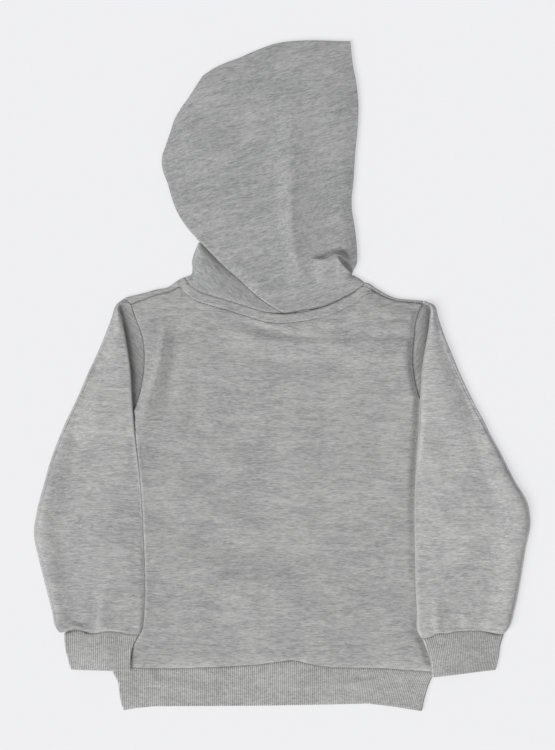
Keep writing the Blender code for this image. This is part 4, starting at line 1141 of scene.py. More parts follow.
@dataclass
class Ring:
    """A ribbed band, knitted as a flattened tube and open at both ends."""

    layout: Layout
    relief: Relief
    rib_pitch: float = 2.0
    cells_to_a_rib: int = 4
    under_cell: float = 3.2

    def cells_across(self, width: float) -> int:
        """Cells across an upper layer of some width, as many to each rib."""
        return int(round(width / self.rib_pitch)) * self.cells_to_a_rib

    def loop(self, start: float, end: float, top_cells: int, low: Callable, high: Callable) -> np.ndarray:
        """Loop round the flattened tube: up the left fold, over the top and back below.

        Args:
            start: X of its left side.
            end: X of its right side.
            top_cells: Cells across the upper layer.
            low: Height of the lower layer at an X.
            high: Height of the upper layer at an X.

        Returns:
            X and Z of the loop's places.
        """
        start, end = start + HALF + TURN, end - HALF - TURN
        angles = [math.pi * step / TURN_CELLS for step in range(TURN_CELLS + 1)]
        loop = [(start - TURN * math.sin(a), low(start) + TURN * (1 - math.cos(a))) for a in angles]
        loop += [(x, high(x)) for x in np.linspace(start, end, top_cells + 1)[1:]]
        loop += [(end + TURN * math.sin(a), low(end) + TURN * (1 + math.cos(a))) for a in angles[1:]]
        under = max(8, int(top_cells / self.cells_to_a_rib * self.rib_pitch / self.under_cell))
        loop += [(x, low(x)) for x in np.linspace(end, start, under + 1)[1:-1]]
        return np.array(loop)

    def ribbed(self, grid: np.ndarray, top_cells: int, fan: np.ndarray) -> np.ndarray:
        """Add the marks of a band: where its ribs are raised, and their phase.

        Args:
            grid: Loops of X, Y and Z.
            top_cells: Cells across the upper layer.
            fan: For places across the upper layer, how much its ribs fan out with the band's edges.

        Returns:
            The grid with its marks.
        """
        first, last = TURN_CELLS, TURN_CELLS + top_cells
        place, x = np.arange(grid.shape[1]), grid[..., 0]
        share = np.clip((place - first) / top_cells, 0, 1)
        spread = x[0, first] + share * (x[0, last] - x[0, first])
        weight = np.interp(share, np.linspace(0, 1, len(fan)), fan)
        phase = (weight * spread + (1 - weight) * x) / self.rib_pitch
        turn = math.pi * TURN / self.rib_pitch * np.linspace(0, 1, TURN_CELLS + 1)[1:]
        phase[:, :first] = phase[:, first:first + 1] - turn[::-1]
        phase[:, last + 1:last + TURN_CELLS + 1] = phase[:, last:last + 1] + turn
        phase[:, last + TURN_CELLS + 1:] = x[:, last + TURN_CELLS + 1:] / self.rib_pitch
        raised = np.interp(place, [2, 4, last + TURN_CELLS - 4, last + TURN_CELLS - 2], [0, 1, 1, 0])
        return with_marks(grid, raised, 1.0, phase)


@dataclass
class HemBand(Ring):
    """Ribbed hem band, its top edge tucked under the back's roll."""

    rows: int = 26
    relief_from: Pair = (0.2, 0.3)  # in shares of the way down
    fan_from: Pair = (0.62, 0.38)  # in shares of the way across
    shade: Pair = (0.4, 1.3)  # below the back's roll, and its reach

    def build(self) -> bpy.types.Object:
        """Make the band.

        Returns:
            Its finished object.
        """
        lay = self.layout
        left, right = (line(HEM_SIDES[side], self.rows)[:, 0] for side in Side)
        columns = lay.back_columns()
        ends = columns[[0, -1]]
        top_cells = self.cells_across(right[0] - left[0])
        down = climb(self.rows)
        rows = []
        for start, end, (share,) in zip(left, right, down):
            loop = self.loop(start, end, top_cells, lambda x: level(0), lambda x: level(1))
            x, z = loop.T
            upper = np.interp(x, columns, lay.hem_line(columns))
            lower = np.interp(x, ends, lay.hem_line(ends))
            top = lower + (upper - lower) * np.clip((z - level(0)) / LAYER, 0, 1)
            rows.append(np.column_stack([x, top + share * (np.interp(x, *zip(*HEM_EDGE)) - top), z]))
        grid = np.array(rows)
        shown = np.clip((grid[..., 2] - level(0)) / LAYER, 0, 1) ** 4
        grid[..., 2] += shown * onset(down, self.relief_from) * np.clip(self.relief.at(grid), -0.1, 1.5)
        grid = self.ribbed(grid, top_cells, onset(np.linspace(0, 1, 40), self.fan_from))
        # Painted shadow below the back's roll.
        below = np.maximum(np.interp(grid[..., 0], *zip(*ROLL_EDGE)) - grid[..., 1] - 0.3, 0)
        grid[..., TONE_AND_PAINTED_LIGHT] *= painted_shade(below, self.shade[0] * shown, self.shade[1])
        shell = Shell("rib_hem_band")
        shell.add(grid, closed=True)
        return shell.build()


@dataclass
class Cuff(Ring):
    """Ribbed cuff, which lies over the edge of the body."""

    side: Side = Side.LEFT
    fan: float = 0.25
    rim: float = 0.0  # painted highlight along the inner fold
    rows: int = 24
    overlap: float = 1.2  # how far its top goes under the sleeve's end
    pale: float = 0.97
    shade: Pair = (0.5, 1.3)  # below the sleeve's end, and its reach
    rim_in: float = 0.3

    def build(self, name: str) -> bpy.types.Object:
        """Make the cuff.

        Args:
            name: Of the piece.

        Returns:
            Its finished object.
        """
        lay, side = self.layout, self.side
        table = np.array(CUFFS[side])
        top_cells = self.cells_across((table[:, 2] - table[:, 0]).max())
        folds, outers = (line(table[:, first:first + 2], self.rows) for first in (0, 2))
        rows = []
        for row in (Tube(*fold, *outer) for fold, outer in zip(folds, outers)):
            slope = (row.outer_y - row.fold_y) / (row.outer - row.fold)

            def y_of(x: float | np.ndarray, row: Tube = row, slope: float = slope) -> float | np.ndarray:
                return row.fold_y + slope * (side.value * x - row.fold)

            def low(x: float, y_of: Callable = y_of) -> float:
                return lay.lying(side, side.value * x, y_of(x))

            def high(x: float, y_of: Callable = y_of, outer: float = row.outer - HALF - TURN) -> float:
                return lay.covering(side, side.value * x, y_of(x), outer)

            start, end = sorted((side.value * row.fold, side.value * row.outer))
            x, z = self.loop(start, end, top_cells, low, high).T
            rows.append(np.column_stack([x, y_of(x), z]))
        grid = np.array(rows)
        upper = np.zeros(grid.shape[1])
        upper[TURN_CELLS + 2:TURN_CELLS + top_cells - 1] = 1
        upper = np.convolve(upper, np.ones(9) / 9, mode="same")
        grid[..., 2] += upper * np.clip(self.relief.at(grid), -0.1, 2.0)
        edge = np.interp(grid[0, :, 0], *zip(*SLEEVE_ENDS[side])) + self.overlap
        grid[..., 1] += upper * np.maximum(edge - grid[0, :, 1], 0) * ease(1 - climb(self.rows) / 0.4)
        grid = self.ribbed(grid, top_cells, np.full(2, self.fan))
        # Painted shadow below the sleeve's end, and painted highlight along the inner fold.
        below = np.maximum(np.interp(grid[..., 0], *zip(*SLEEVE_ENDS[side])) - grid[..., 1], 0)
        grid[..., TONE_AND_PAINTED_LIGHT] *= self.pale - self.shade[0] * upper * bell(below, self.shade[1])
        grid[..., TONE_AND_PAINTED_LIGHT] *= 1 + self.rim * bell(side.value * grid[..., 0] - folds[:, :1] - self.rim_in, 1.0)
        shell = Shell(name)
        shell.add(grid, closed=True)
        return shell.build()


@dataclass
class Hood:
    """Both halves of the hood, lying on its left half."""

    relief: Relief
    under: Relief
    loft: float = 2.2
    cell: float = 1.9
    fine_cell: float = 0.75
    fine_column: float = 1.0
    hidden_cell: float = 3.4
    side_bulge: Point = (-1.0, 0.05)  # the way each of the two folds points
    base_bulge: Point = (0.58, 0.81)
    underlap: float = 1.2  # how far the half underneath stays inside the outline
    right_turn: float = 16.0
    left_turn: float = -38.0
    fade: float = 0.12  # share of its width over which its edges come down
    top_fade: float = 0.08
    seam_round: float = 2.8
    left_rise: float = 3.4
    most_left: float = 5.0
    left_relief: float = 0.4  # share of the folds that shows on it
    opening_round: float = 3.0
    opening_rim: Pair = (0.12, 2.0)  # how much painted highlight along the face opening, and its reach
    diagonal_rise: Pair = (0.5, 1.3)  # everywhere, and more along the diagonal
    diagonal_reach: float = 9.0
    diagonal_from: Pair = (1.0, 5.0)  # from the neck seam
    diagonal_end: Pair = (8.0, 12.0)  # how far past the notch it ends, and over how much
    nape_from: Pair = (-44.0, 20.0)  # from the right
    seam_cell: float = 0.6
    edge_inset: float = 3.0  # how far in from the neck seam and the centre seam one more row lies
    left_shade: float = 0.65  # of the neck seam on the half underneath
    nape_shade: Pair = (0.6, 0.2)  # of the neck seam, and how much more at the nape
    nape_reach: Pair = (1.1, 0.4)

    @staticmethod
    def outline(inset: float) -> list[np.ndarray]:
        """The hood's back and top edges, the diagonal left out, moved in by an inset."""
        edges = line(HOOD_BACK, HOOD_BACK_POINTS), line(HOOD_TOP, HOOD_TOP_POINTS)
        return [edge + inset * unit(np.array(HOOD_MIDDLE) - edge) for edge in edges]

    def right_grid(self) -> tuple[np.ndarray, int]:
        """Grid of the half on top, and the last of its rows that ends at the base's fold."""
        diagonal = line(DIAGONAL, DIAGONAL_ROWS) + (GAP, GAP / 2)
        back, top = self.outline(0.0)
        fold = np.array(HOOD_BASE_FOLD) - np.array(self.base_bulge) * (TURN + HALF)
        base = line(NECK_RIGHT, 2 * len(NECK_RIGHT) - 1, NECK_LEFT[:-1]) + (GAP / 2, 2 * GAP)
        base[-1] = fold[0]
        left = np.concatenate([diagonal, back[1:]])
        right = np.concatenate([fold, line(OPENING, len(left) - len(fold) + 1)[1:]])
        coarse = at_height(patch(base, top, left, right), 0.0)
        u, v = climb(coarse.shape[1]).T, climb(len(coarse))
        edge = between(u, 0, 1, self.fade, self.fade) * between(v, 0.02, 1, self.fade, self.top_fade)
        coarse[..., 2] = GAP / 4 * (1 - u)
        coarse = near_edge(with_marks(coarse, edge, 1.0), self.edge_inset, 1)
        corner = coarse[len(fold) - 1, -1, :2].copy()
        coarse = near_edge(coarse, self.edge_inset, 0)
        columns = [self.seam_cell] + [self.cell] * (coarse.shape[1] - 8) + [self.fine_column] * 6
        rows = [self.seam_cell] + [self.fine_cell] * 5 + [self.cell] * (len(coarse) - 7)
        grid = refine(refine(coarse, columns, 1), rows, 0)
        return grid, int(np.argmin(np.hypot(*(grid[:, -1, :2] - corner).T)))

    def right_half(self) -> bpy.types.Object:
        """The half on top, with its base turned under to the front neck seam."""
        grid, last = self.right_grid()
        x, y = grid[..., 0], grid[..., 1]
        from_base, from_left, from_opening = (edge_distance(grid, 0), edge_distance(grid, 1),
                                              edge_distance(grid, 1, last=True))
        seam = rolled(from_base, self.seam_round) * rolled(from_left, self.seam_round)
        past, over = self.diagonal_end
        diagonal = ease((NOTCH[1] + past - y) / over) * onset(from_base, self.diagonal_from)
        puff = np.clip(grid[..., SHOWN], 0, 1) * np.maximum(self.loft + self.relief.at(grid), 0)
        least, more = self.diagonal_rise
        rise = least + more * diagonal * np.exp(-from_left / self.diagonal_reach)
        puff += rise * ease((1.0 - climb(len(grid))) / 0.05)
        opening = rolled(from_opening, self.opening_round)
        grid[..., 2] += level(1) + seam * (0.35 + 0.65 * opening) * puff - 0.4 * (1 - seam) * diagonal
        grid[last:, -1, 2] = np.minimum(grid[last:, -1, 2], level(1) + 0.6)
        grid[:last + 1, -1, 2] = level(1)
        nape = onset(-x, self.nape_from)
        # Painted highlight along the face opening, and painted shade of the folds, along the neck seam and beside the
        # diagonal centre seam.
        paler, reach = self.opening_rim
        tone = self.relief.tone(grid) * (1 + paler * bell(from_opening, reach) * (y > OPENING[0][1] + 4))
        tone *= painted_shade(from_base, *(least + more * nape for least, more in (self.nape_shade, self.nape_reach)))
        tone *= 1 - diagonal * (1 - painted_shade(from_left, 0.3))
        shell = Shell("fleece_hood_right", self.right_turn)
        shell.add(with_marks(grid[..., :3], 1.0, tone))
        low = grid[:last + 1, -1, :3] - (0, 0, 2 * TURN)
        turn = turn_over(low, np.tile(self.base_bulge, (len(low), 1)))[::-1]
        shell.add(with_marks(turn.transpose(1, 0, 2), 1.0, 1.0))
        neck = split(FRONT_NECK_RIGHT[::-1], 4) + (-GAP / 2, 2 * GAP)
        neck[-1, 0] += 4 * GAP
        flap = np.linspace(neck, np.linspace(low[-1, :2], neck[-1] + HOOD_FLAP, len(neck)), len(low))
        flap[:, 0] = low[:, :2]
        shell.add(with_marks(at_height(flap, level(0)), 1.0, 1.0))
        return shell.build()

    def left_grid(self) -> tuple[np.ndarray, int]:
        """Grid of the half underneath, and the last of its rows that ends at the side's fold."""
        rows = DIAGONAL_ROWS
        fold = line(HOOD_SIDE_FOLD, rows) - np.array(self.side_bulge) * (TURN + HALF)
        back, top = self.outline(self.underlap)
        left = np.concatenate([fold, back[1:]])
        base = split(FRONT_NECK_LEFT, 2) + (1.2 * GAP, 1.5 * GAP)
        base[0] = fold[0]
        hidden = line([base[-1], base[-1] + (6, 8)] + HOOD_HIDDEN, rows + 1)
        opening = line(OPENING, len(left) - len(hidden) + 2)[1:] - (1.5 * self.underlap, 0)
        right = np.concatenate([hidden, opening[1:]])
        right[-1] = top[-1]
        coarse = at_height(patch(base, top, left, right), 0.0)
        steps = np.linalg.norm(np.diff(coarse, axis=0), axis=-1).max(axis=1)[:rows - 1]
        down = [self.cell] * (rows - 1) + [self.hidden_cell] * (len(coarse) - rows)
        grid = refine(refine(coarse, self.hidden_cell, 1), down, 0)
        grid[..., 2] = level(0) + off_edges(grid.shape) * np.clip(self.under.at(grid), 0, 0.6)
        return grid, int(np.ceil(steps / self.cell).sum())

    def left_half(self) -> bpy.types.Object:
        """The half underneath, folded up at its left side to show beside the centre seam."""
        grid, last = self.left_grid()
        shell = Shell("fleece_hood_left", self.left_turn)
        # Painted shade below the neck seam on the half underneath.
        under_seam = painted_shade(grid[..., 1] - np.interp(grid[..., 0], *zip(*NECK_RIGHT)), self.left_shade, 3.0)
        shell.add(with_marks(grid, 1.0, under_seam)[:, ::-1])
        low = grid[:last + 1, 0]
        turn = turn_over(low, np.tile(self.side_bulge, (len(low), 1)))
        shell.add(with_marks(turn.transpose(1, 0, 2), 1.0, 1.0))
        crest = turn[-1, :, :2]
        seam = line(DIAGONAL, len(low)) - (GAP, GAP / 2)
        seam[-1] = crest[-1]
        neck = np.concatenate([crest[:1], line(NECK_LEFT, 40) + (0, GAP)])
        neck[1, 0] += 1.5 * GAP
        shown = np.linspace(crest, seam, len(neck), axis=1)
        straight = shown[0].copy()
        neck[-1] = np.array(NAPE) + (-GAP / 2, GAP)
        up = climb(len(low))
        shown = shown + ease(1 - up / 0.5)[..., None] * (neck - straight)
        shown[:, 0] = crest
        middle = np.sin(np.pi * climb(len(neck)).T**0.6) * ease((1 - up) * 5)
        rise = np.clip(self.left_rise + self.left_relief * self.relief.at(shown), 0, self.most_left)
        from_base, beside = edge_distance(shown, 0), edge_distance(shown, 1, last=True)
        height = np.full(shown.shape[:2], level(1))
        height[:, 1:-1] += (middle * rolled(from_base, 2.6) * rise)[:, 1:-1]
        # Painted shade along the neck seam and beside the centre seam, in the valley along the diagonal.
        tone = painted_shade(from_base, self.left_shade, 1.0) * painted_shade(beside) * painted_shade(beside, 0.17 * ease(up / 0.7), 7.0)
        shell.add(with_marks(at_height(shown, height), 1.0, tone))
        return shell.build()


class NodeSheet:
    """A node tree being laid out: adds nodes and links sockets."""

    def __init__(self, tree: bpy.types.NodeTree) -> None:
        self.tree = tree

    def feed(self, node: bpy.types.Node, **inputs: object) -> bpy.types.Node:
        """Give a node's inputs, by name or as _index, a value or a link from another socket."""
        for name, value in inputs.items():
            socket = node.inputs[int(name[1:])] if name.startswith("_") else node.inputs[name.replace("_", " ")]
            if isinstance(value, bpy.types.NodeSocket):
                self.tree.links.new(value, socket)
            else:
                socket.default_value = value
        return node

    def add(self, kind: str, settings: dict[str, object] | None = None, **inputs: object) -> bpy.types.Node:
        """Add a node, set its properties and give its inputs."""
        node = self.tree.nodes.new(kind)
        for name, value in (settings or {}).items():
            setattr(node, name, value)
        return self.feed(node, **inputs)

    def out(self, kind: str, settings: dict[str, object] | None = None, **inputs: object) -> bpy.types.NodeSocket:
        """Add a node in the same way and return its first output."""
        return self.add(kind, settings, **inputs).outputs[0]

    def math(self, operation: str, *values: object) -> bpy.types.NodeSocket:
        """A Math node's result."""
        return self.out("ShaderNodeMath", {"operation": operation}, **{f"_{k}": v for k, v in enumerate(values)})

    def noise(self, place: bpy.types.NodeSocket, scale: float, detail: float, **more: float) -> bpy.types.NodeSocket:
        """A noise texture's value at a place."""
        return self.out("ShaderNodeTexNoise", Vector=place, Scale=scale, Detail=detail, **more)

    def mixed(self, share: object, first: object, second: object, blend: str = "MIX") -> bpy.types.NodeSocket:
        """Two colours mixed by a share."""
        settings = {"data_type": "RGBA", "blend_type": blend}
        return self.add("ShaderNodeMix", settings, Factor=share, _6=first, _7=second).outputs[2]

    def attribute(self, name: str) -> bpy.types.bpy_prop_collection:
        """The outputs of a shader's named attribute."""
        return self.add("ShaderNodeAttribute", {"attribute_name": name}).outputs

    def named(self, name: str) -> bpy.types.NodeSocket:
        """A geometry's own float attribute."""
        return self.out("GeometryNodeInputNamedAttribute", {"data_type": "FLOAT"}, Name=name)


def new_tree(name: str, kind: str, inputs: Sequence[tuple], outputs: Sequence[tuple]) -> tuple:
    """Start a node group.

    Args:
        name: Of the group.
        kind: Its tree type.
        inputs: Name, kind of socket and, where it has one, default of each input.
        outputs: Name and kind of each output.

    Returns:
        Its sheet and the outputs of its input node.
    """
    sheet = NodeSheet(bpy.data.node_groups.new(name, kind))
    for way, sockets in (("INPUT", inputs), ("OUTPUT", outputs)):
        for label, socket, *default in sockets:
            made = sheet.tree.interface.new_socket(name=label, in_out=way, socket_type="NodeSocket" + socket)
            if default:
                made.default_value = default[0]
    return sheet, sheet.add("NodeGroupInput").outputs


def stitch_tree() -> bpy.types.NodeTree:
    """Tree that lays short rounded stitches along the edges of a mesh."""
    sheet, given = new_tree("row_of_stitches", "GeometryNodeTree", (
        ("Geometry", "Geometry"), ("Pitch", "Float", 0.003), ("Length", "Float", 0.0022),
        ("Thickness", "Float", 0.0005), ("Seed", "Int", 3), ("Thread", "Material")), [("Geometry", "Geometry")])
    curve = sheet.out("GeometryNodeMeshToCurve", Mesh=given["Geometry"])
    even = sheet.out("GeometryNodeResampleCurve", {"mode": "LENGTH"}, Curve=curve, Length=given["Pitch"])
    tangent = sheet.out("GeometryNodeInputTangent")
    align = sheet.out("FunctionNodeAlignRotationToVector", {"axis": "Z"}, Vector=tangent)
    stitch = sheet.out("GeometryNodeMeshUVSphere", Segments=6, Rings=6, Radius=0.5)
    jitter = sheet.add("FunctionNodeRandomValue", {"data_type": "FLOAT"}, _2=0.88, _3=1.1, Seed=given["Seed"])
    longer = sheet.math("MULTIPLY", given["Length"], jitter.outputs[1])
    size = sheet.out("ShaderNodeCombineXYZ", X=given["Thickness"], Y=given["Thickness"], Z=longer)
    placed = sheet.out("GeometryNodeInstanceOnPoints", Points=even, Instance=stitch, Rotation=align, Scale=size)
    real = sheet.out("GeometryNodeRealizeInstances", Geometry=placed)
    smooth = sheet.out("GeometryNodeSetShadeSmooth", Geometry=real)
    dressed = sheet.out("GeometryNodeSetMaterial", Geometry=smooth, Material=given["Thread"])
    sheet.add("NodeGroupOutput", Geometry=dressed)
    return sheet.tree


def rib_tree() -> bpy.types.NodeTree:
    """Tree that raises knitted ribs on the outside of a band, from its rib phase."""
    sheet, given = new_tree("knitted_ribs", "GeometryNodeTree", (
        ("Geometry", "Geometry"), ("Rise", "Float", 0.0004), ("Knit", "Material")), [("Geometry", "Geometry")])
    phase, raised = sheet.named("rib_phase"), sheet.named("raised")
    wave = sheet.math("COSINE", sheet.math("MULTIPLY", phase, 2 * math.pi))
    hump = sheet.math("MULTIPLY", sheet.math("SUBTRACT", 1.0, wave), 0.5)
    rise = sheet.math("MULTIPLY", sheet.math("MULTIPLY", hump, raised), given["Rise"])
    normal = sheet.out("GeometryNodeInputNormal")
    offset = sheet.out("ShaderNodeVectorMath", {"operation": "SCALE"}, _0=normal, Scale=rise)
    moved = sheet.out("GeometryNodeSetPosition", Geometry=given["Geometry"], Offset=offset)
    real = sheet.out("GeometryNodeRealizeInstances", Geometry=moved)
    dressed = sheet.out("GeometryNodeSetMaterial", Geometry=real, Material=given["Knit"])
    sheet.add("NodeGroupOutput", Geometry=dressed)
    return sheet.tree


def apply_tree(piece: bpy.types.Object, tree: bpy.types.NodeTree, values: dict[str, object]) -> None:
    """Run a geometry tree on a piece and keep the result as its plain mesh.

    Args:
        piece: The object to work on.
        tree: The geometry node tree.
        values: The tree's inputs by name.
    """
    modifier = piece.modifiers.new(tree.name, "NODES")
    modifier.node_group = tree
    sockets = {item.name: item.identifier for item in tree.interface.items_tree if item.in_out == "INPUT"}
    for name, value in values.items():
        modifier[sockets[name]] = value
    result = bpy.data.meshes.new_from_object(piece.evaluated_get(bpy.context.evaluated_depsgraph_get()))
    piece.modifiers.remove(modifier)
    piece.data = result
    result.name = piece.name


def marl_group() -> bpy.types.NodeTree:
    """Shader group for marled yarn: pale and dark fibres drawn out in streaks along X.

    Returns:
        The group, with inputs for its place, colours and streaks, and outputs Color and Height.
    """
    sheet, given = new_tree("marl_fibres", "ShaderNodeTree", (
        ("Place", "Vector"), ("Pale", "Color", (0.5, 0.5, 0.5, 1)), ("Dark", "Color", (0.2, 0.2, 0.2, 1)),
        ("Streak Length", "Float", 6.0), ("Streak Width", "Float", 0.8), ("Contrast", "Float", 1.0)),
        (("Color", "Color"), ("Height", "Float")))
    place = given["Place"]
    long_scale, wide_scale = (sheet.math("DIVIDE", 1000.0, given[name]) for name in ("Streak Length", "Streak Width"))

    def streaks(times: float, detail: float) -> bpy.types.NodeSocket:
        along, across, deep = (sheet.math("MULTIPLY", scale, times) for scale in (long_scale, wide_scale, wide_scale))
        stretched = sheet.out("ShaderNodeCombineXYZ", X=along, Y=across, Z=deep)
        scaled = sheet.out("ShaderNodeVectorMath", {"operation": "MULTIPLY"}, _0=place, _1=stretched)
        return sheet.noise(scaled, 1.0, detail, Roughness=0.6)

    broad, speck = sheet.noise(place, 22.0, 2.0), sheet.noise(place, 1500.0, 2.0)
    coarse, fine, cloud = streaks(1.0, 3.0), streaks(2.0, 2.0), streaks(0.3, 1.0)
    mixed = sheet.math("MULTIPLY", coarse, 0.4)
    for part, weight in ((fine, 0.22), (cloud, 0.16), (speck, 0.08), (broad, 0.14)):
        mixed = sheet.math("ADD", mixed, sheet.math("MULTIPLY", part, weight))
    centred = sheet.math("MULTIPLY", sheet.math("SUBTRACT", mixed, 0.5), given["Contrast"])
    share = sheet.out("ShaderNodeMapRange", {"interpolation_type": "SMOOTHSTEP"}, Value=centred, From_Min=-0.2,
                      From_Max=0.2)
    height = sheet.math("ADD", sheet.math("MULTIPLY", fine, 0.6), sheet.math("MULTIPLY", speck, 0.4))
    sheet.add("NodeGroupOutput", Color=sheet.mixed(share, given["Dark"], given["Pale"]), Height=height)
    return sheet.tree


def new_material(name: str, **inputs: object) -> tuple[bpy.types.Material, NodeSheet, bpy.types.Node]:
    """Start a material.

    Args:
        name: Of the material.
        inputs: Values of its surface's inputs.

    Returns:
        The material, its sheet and its surface node.
    """
    material = bpy.data.materials.new(name)
    material.use_nodes = True
    sheet = NodeSheet(material.node_tree)
    return material, sheet, sheet.feed(material.node_tree.nodes["Principled BSDF"], **inputs)


@dataclass(frozen=True)
class MarlFinish:
    """Grey marl cloth: brushed fleece, or rib knit."""

    name: str
    pale: tuple[float, float, float]
    dark: tuple[float, float, float]
    streak_length: float = 6.0
    streak_width: float = 1.45
    contrast: float = 0.9
    bump: float = 0.25
    sheen: float = 0.45
    # How much painted shade darkens the grooves between the ribs, and its colour.
    rib_shade: float = 0.0
    groove_shade: tuple[float, float, float] = (0.1, 0.1, 0.105)

    def build(self, marl: bpy.types.NodeTree) -> bpy.types.Material:
        """Make the material.

        Args:
            marl: The shared shader group for marled fibres.

        Returns:
            The material.
        """
        material, sheet, surface = new_material(self.name, Roughness=0.95, Sheen_Weight=self.sheen,
                                                Sheen_Roughness=0.55, Specular_IOR_Level=0.2)
        fibres = sheet.add("ShaderNodeGroup", {"node_tree": marl}, Place=sheet.attribute("weave")["Vector"],
                           Pale=(*self.pale, 1), Dark=(*self.dark, 1), Streak_Length=self.streak_length,
                           Streak_Width=self.streak_width, Contrast=self.contrast).outputs
        # The tone multiplies the colour: painted shade and painted highlights along with the cloth's own tone.
        colour = sheet.mixed(1.0, fibres["Color"], sheet.attribute("tone")["Color"], "MULTIPLY")
        # Painted shade in the grooves between the ribs.
        if self.rib_shade:
            phase = sheet.math("MULTIPLY", sheet.attribute("rib_phase")["Fac"], 2 * math.pi)
            crest = sheet.math("ADD", sheet.math("COSINE", phase), 1.0)
            depth = sheet.math("MULTIPLY", crest, 0.5 * self.rib_shade)
            colour = sheet.mixed(depth, colour, (*self.groove_shade, 1), "MULTIPLY")
        bump = sheet.out("ShaderNodeBump", Strength=self.bump, Distance=0.0006, Height=fibres["Height"])
        sheet.feed(surface, Base_Color=colour, Normal=bump)
        return material


@dataclass(frozen=True)
class ThreadFinish:
    """Sewing thread, a little smoother than the cloth."""

    name: str = "grey_thread"
    colour: tuple[float, float, float] = (0.33, 0.335, 0.33)
    darker: float = 0.75

    def build(self) -> bpy.types.Material:
        """Make the material."""
        material, sheet, surface = new_material(self.name, Roughness=0.7)
        share = sheet.noise(sheet.add("ShaderNodeTexCoord").outputs["Object"], 900.0, 2.0)
        dark = tuple(self.darker * part for part in self.colour)
        sheet.feed(surface, Base_Color=sheet.mixed(share, (*dark, 1), (*self.colour, 1)))
        return material


@dataclass
class StitchRow:
    """A row of stitches sunk a little into the cloth along a line."""

    name: str
    path: Sequence[Point]
    pitch: float = 3.0
    length: float = 2.3
    thickness: float = 0.55
    sink: float = 0.12
    points_to_a_place: int = 40

    def build(self, cloth: Sequence[bpy.types.Object], tree: bpy.types.NodeTree,
              thread: bpy.types.Material) -> bpy.types.Object:
        """Lay the stitches on the cloth.

        Args:
            cloth: The pieces below the row.
            tree: The tree that makes stitches along edges.
            thread: Their material.

        Returns:
            The row's finished object.
        """
        points = []
        trees = [BVHTree.FromPolygons([v.co for v in o.data.vertices], [p.vertices for p in o.data.polygons])
                 for o in cloth]
        for x, y in line(self.path, self.points_to_a_place * len(self.path)) * MM:
            hits = [found.ray_cast((x, y, 0.1), (0, 0, -1))[0] for found in trees]
            tops = [hit.z for hit in hits if hit is not None]
            if tops:
                points.append((x, y, max(tops) - self.sink * MM))
        mesh = bpy.data.meshes.new(self.name)
        mesh.from_pydata(points, [(k, k + 1) for k in range(len(points) - 1)], [])
        row = in_scene(self.name, mesh)
        apply_tree(row, tree, {"Pitch": self.pitch * MM, "Length": self.length * MM,
                               "Thickness": self.thickness * MM, "Thread": thread})
        return row


@dataclass
class Studio:
    """Pale floor, soft light from the lower left and a camera straight above."""

    middle: Point = (-5.0, 1.0)
    field_height: float = 750.0
    lens: float = 100.0
    sensor: float = 36.0
    height: float = 4.0
    reach: float = 3.0  # of the floor, in metres
    lamp_from: tuple[float, float, float] = (-1.3, -1.0, 1.3)
    lamp_spread: float = 38.0  # in degrees
    lamp_strength: float = 2.95
    sky: float = 0.5

    def build(self) -> None:
        """Make the floor, the lights and the camera."""
        scene = bpy.context.scene
        camera = bpy.data.cameras.new("above")
        camera.sensor_fit = "VERTICAL"
        camera.sensor_height = self.sensor
        camera.lens = self.lens
        away = self.height + self.field_height * self.lens / self.sensor
        scene.camera = in_scene("above", camera)
        scene.camera.location = (self.middle[0] * MM, self.middle[1] * MM, away * MM)
        floor = bpy.data.meshes.new("floor")
        corners = [(x * self.reach, y * self.reach, 0) for x, y in ((-1, -1), (1, -1), (1, 1), (-1, 1))]
        floor.from_pydata(corners, [], [(0, 1, 2, 3)])
        base = in_scene("floor", floor)
        floor.materials.append(new_material("pale_floor", Base_Color=(0.3, 0.3, 0.306, 1), Roughness=0.9,
                                            Emission_Color=(1.0, 1.0, 1.019, 1), Emission_Strength=0.54,
                                            Specular_IOR_Level=0.1)[0])
        light = bpy.data.lights.new("key", "SUN")
        light.angle = math.radians(self.lamp_spread)
        light.energy = self.lamp_strength
        lamp = in_scene("key", light)
        lamp.location = self.lamp_from
        lamp.rotation_euler = (-Vector(self.lamp_from)).to_track_quat("-Z", "Y").to_euler()
        world = bpy.data.worlds.new("studio")
        world.use_nodes = True
        NodeSheet(world.node_tree).feed(world.node_tree.nodes["Background"], Color=(1, 1, 1, 1), Strength=self.sky)
        scene.world = world
        scene.view_settings.view_transform = "Standard"


def relief(creases: Sequence[tuple], ripples: Sequence[tuple]) -> Relief:
    """The folds of a piece from rows of values, each crease and ripple in the order of its fields."""
    return Relief([Crease(*row) for row in creases], [Ripple(*row) for row in ripples])


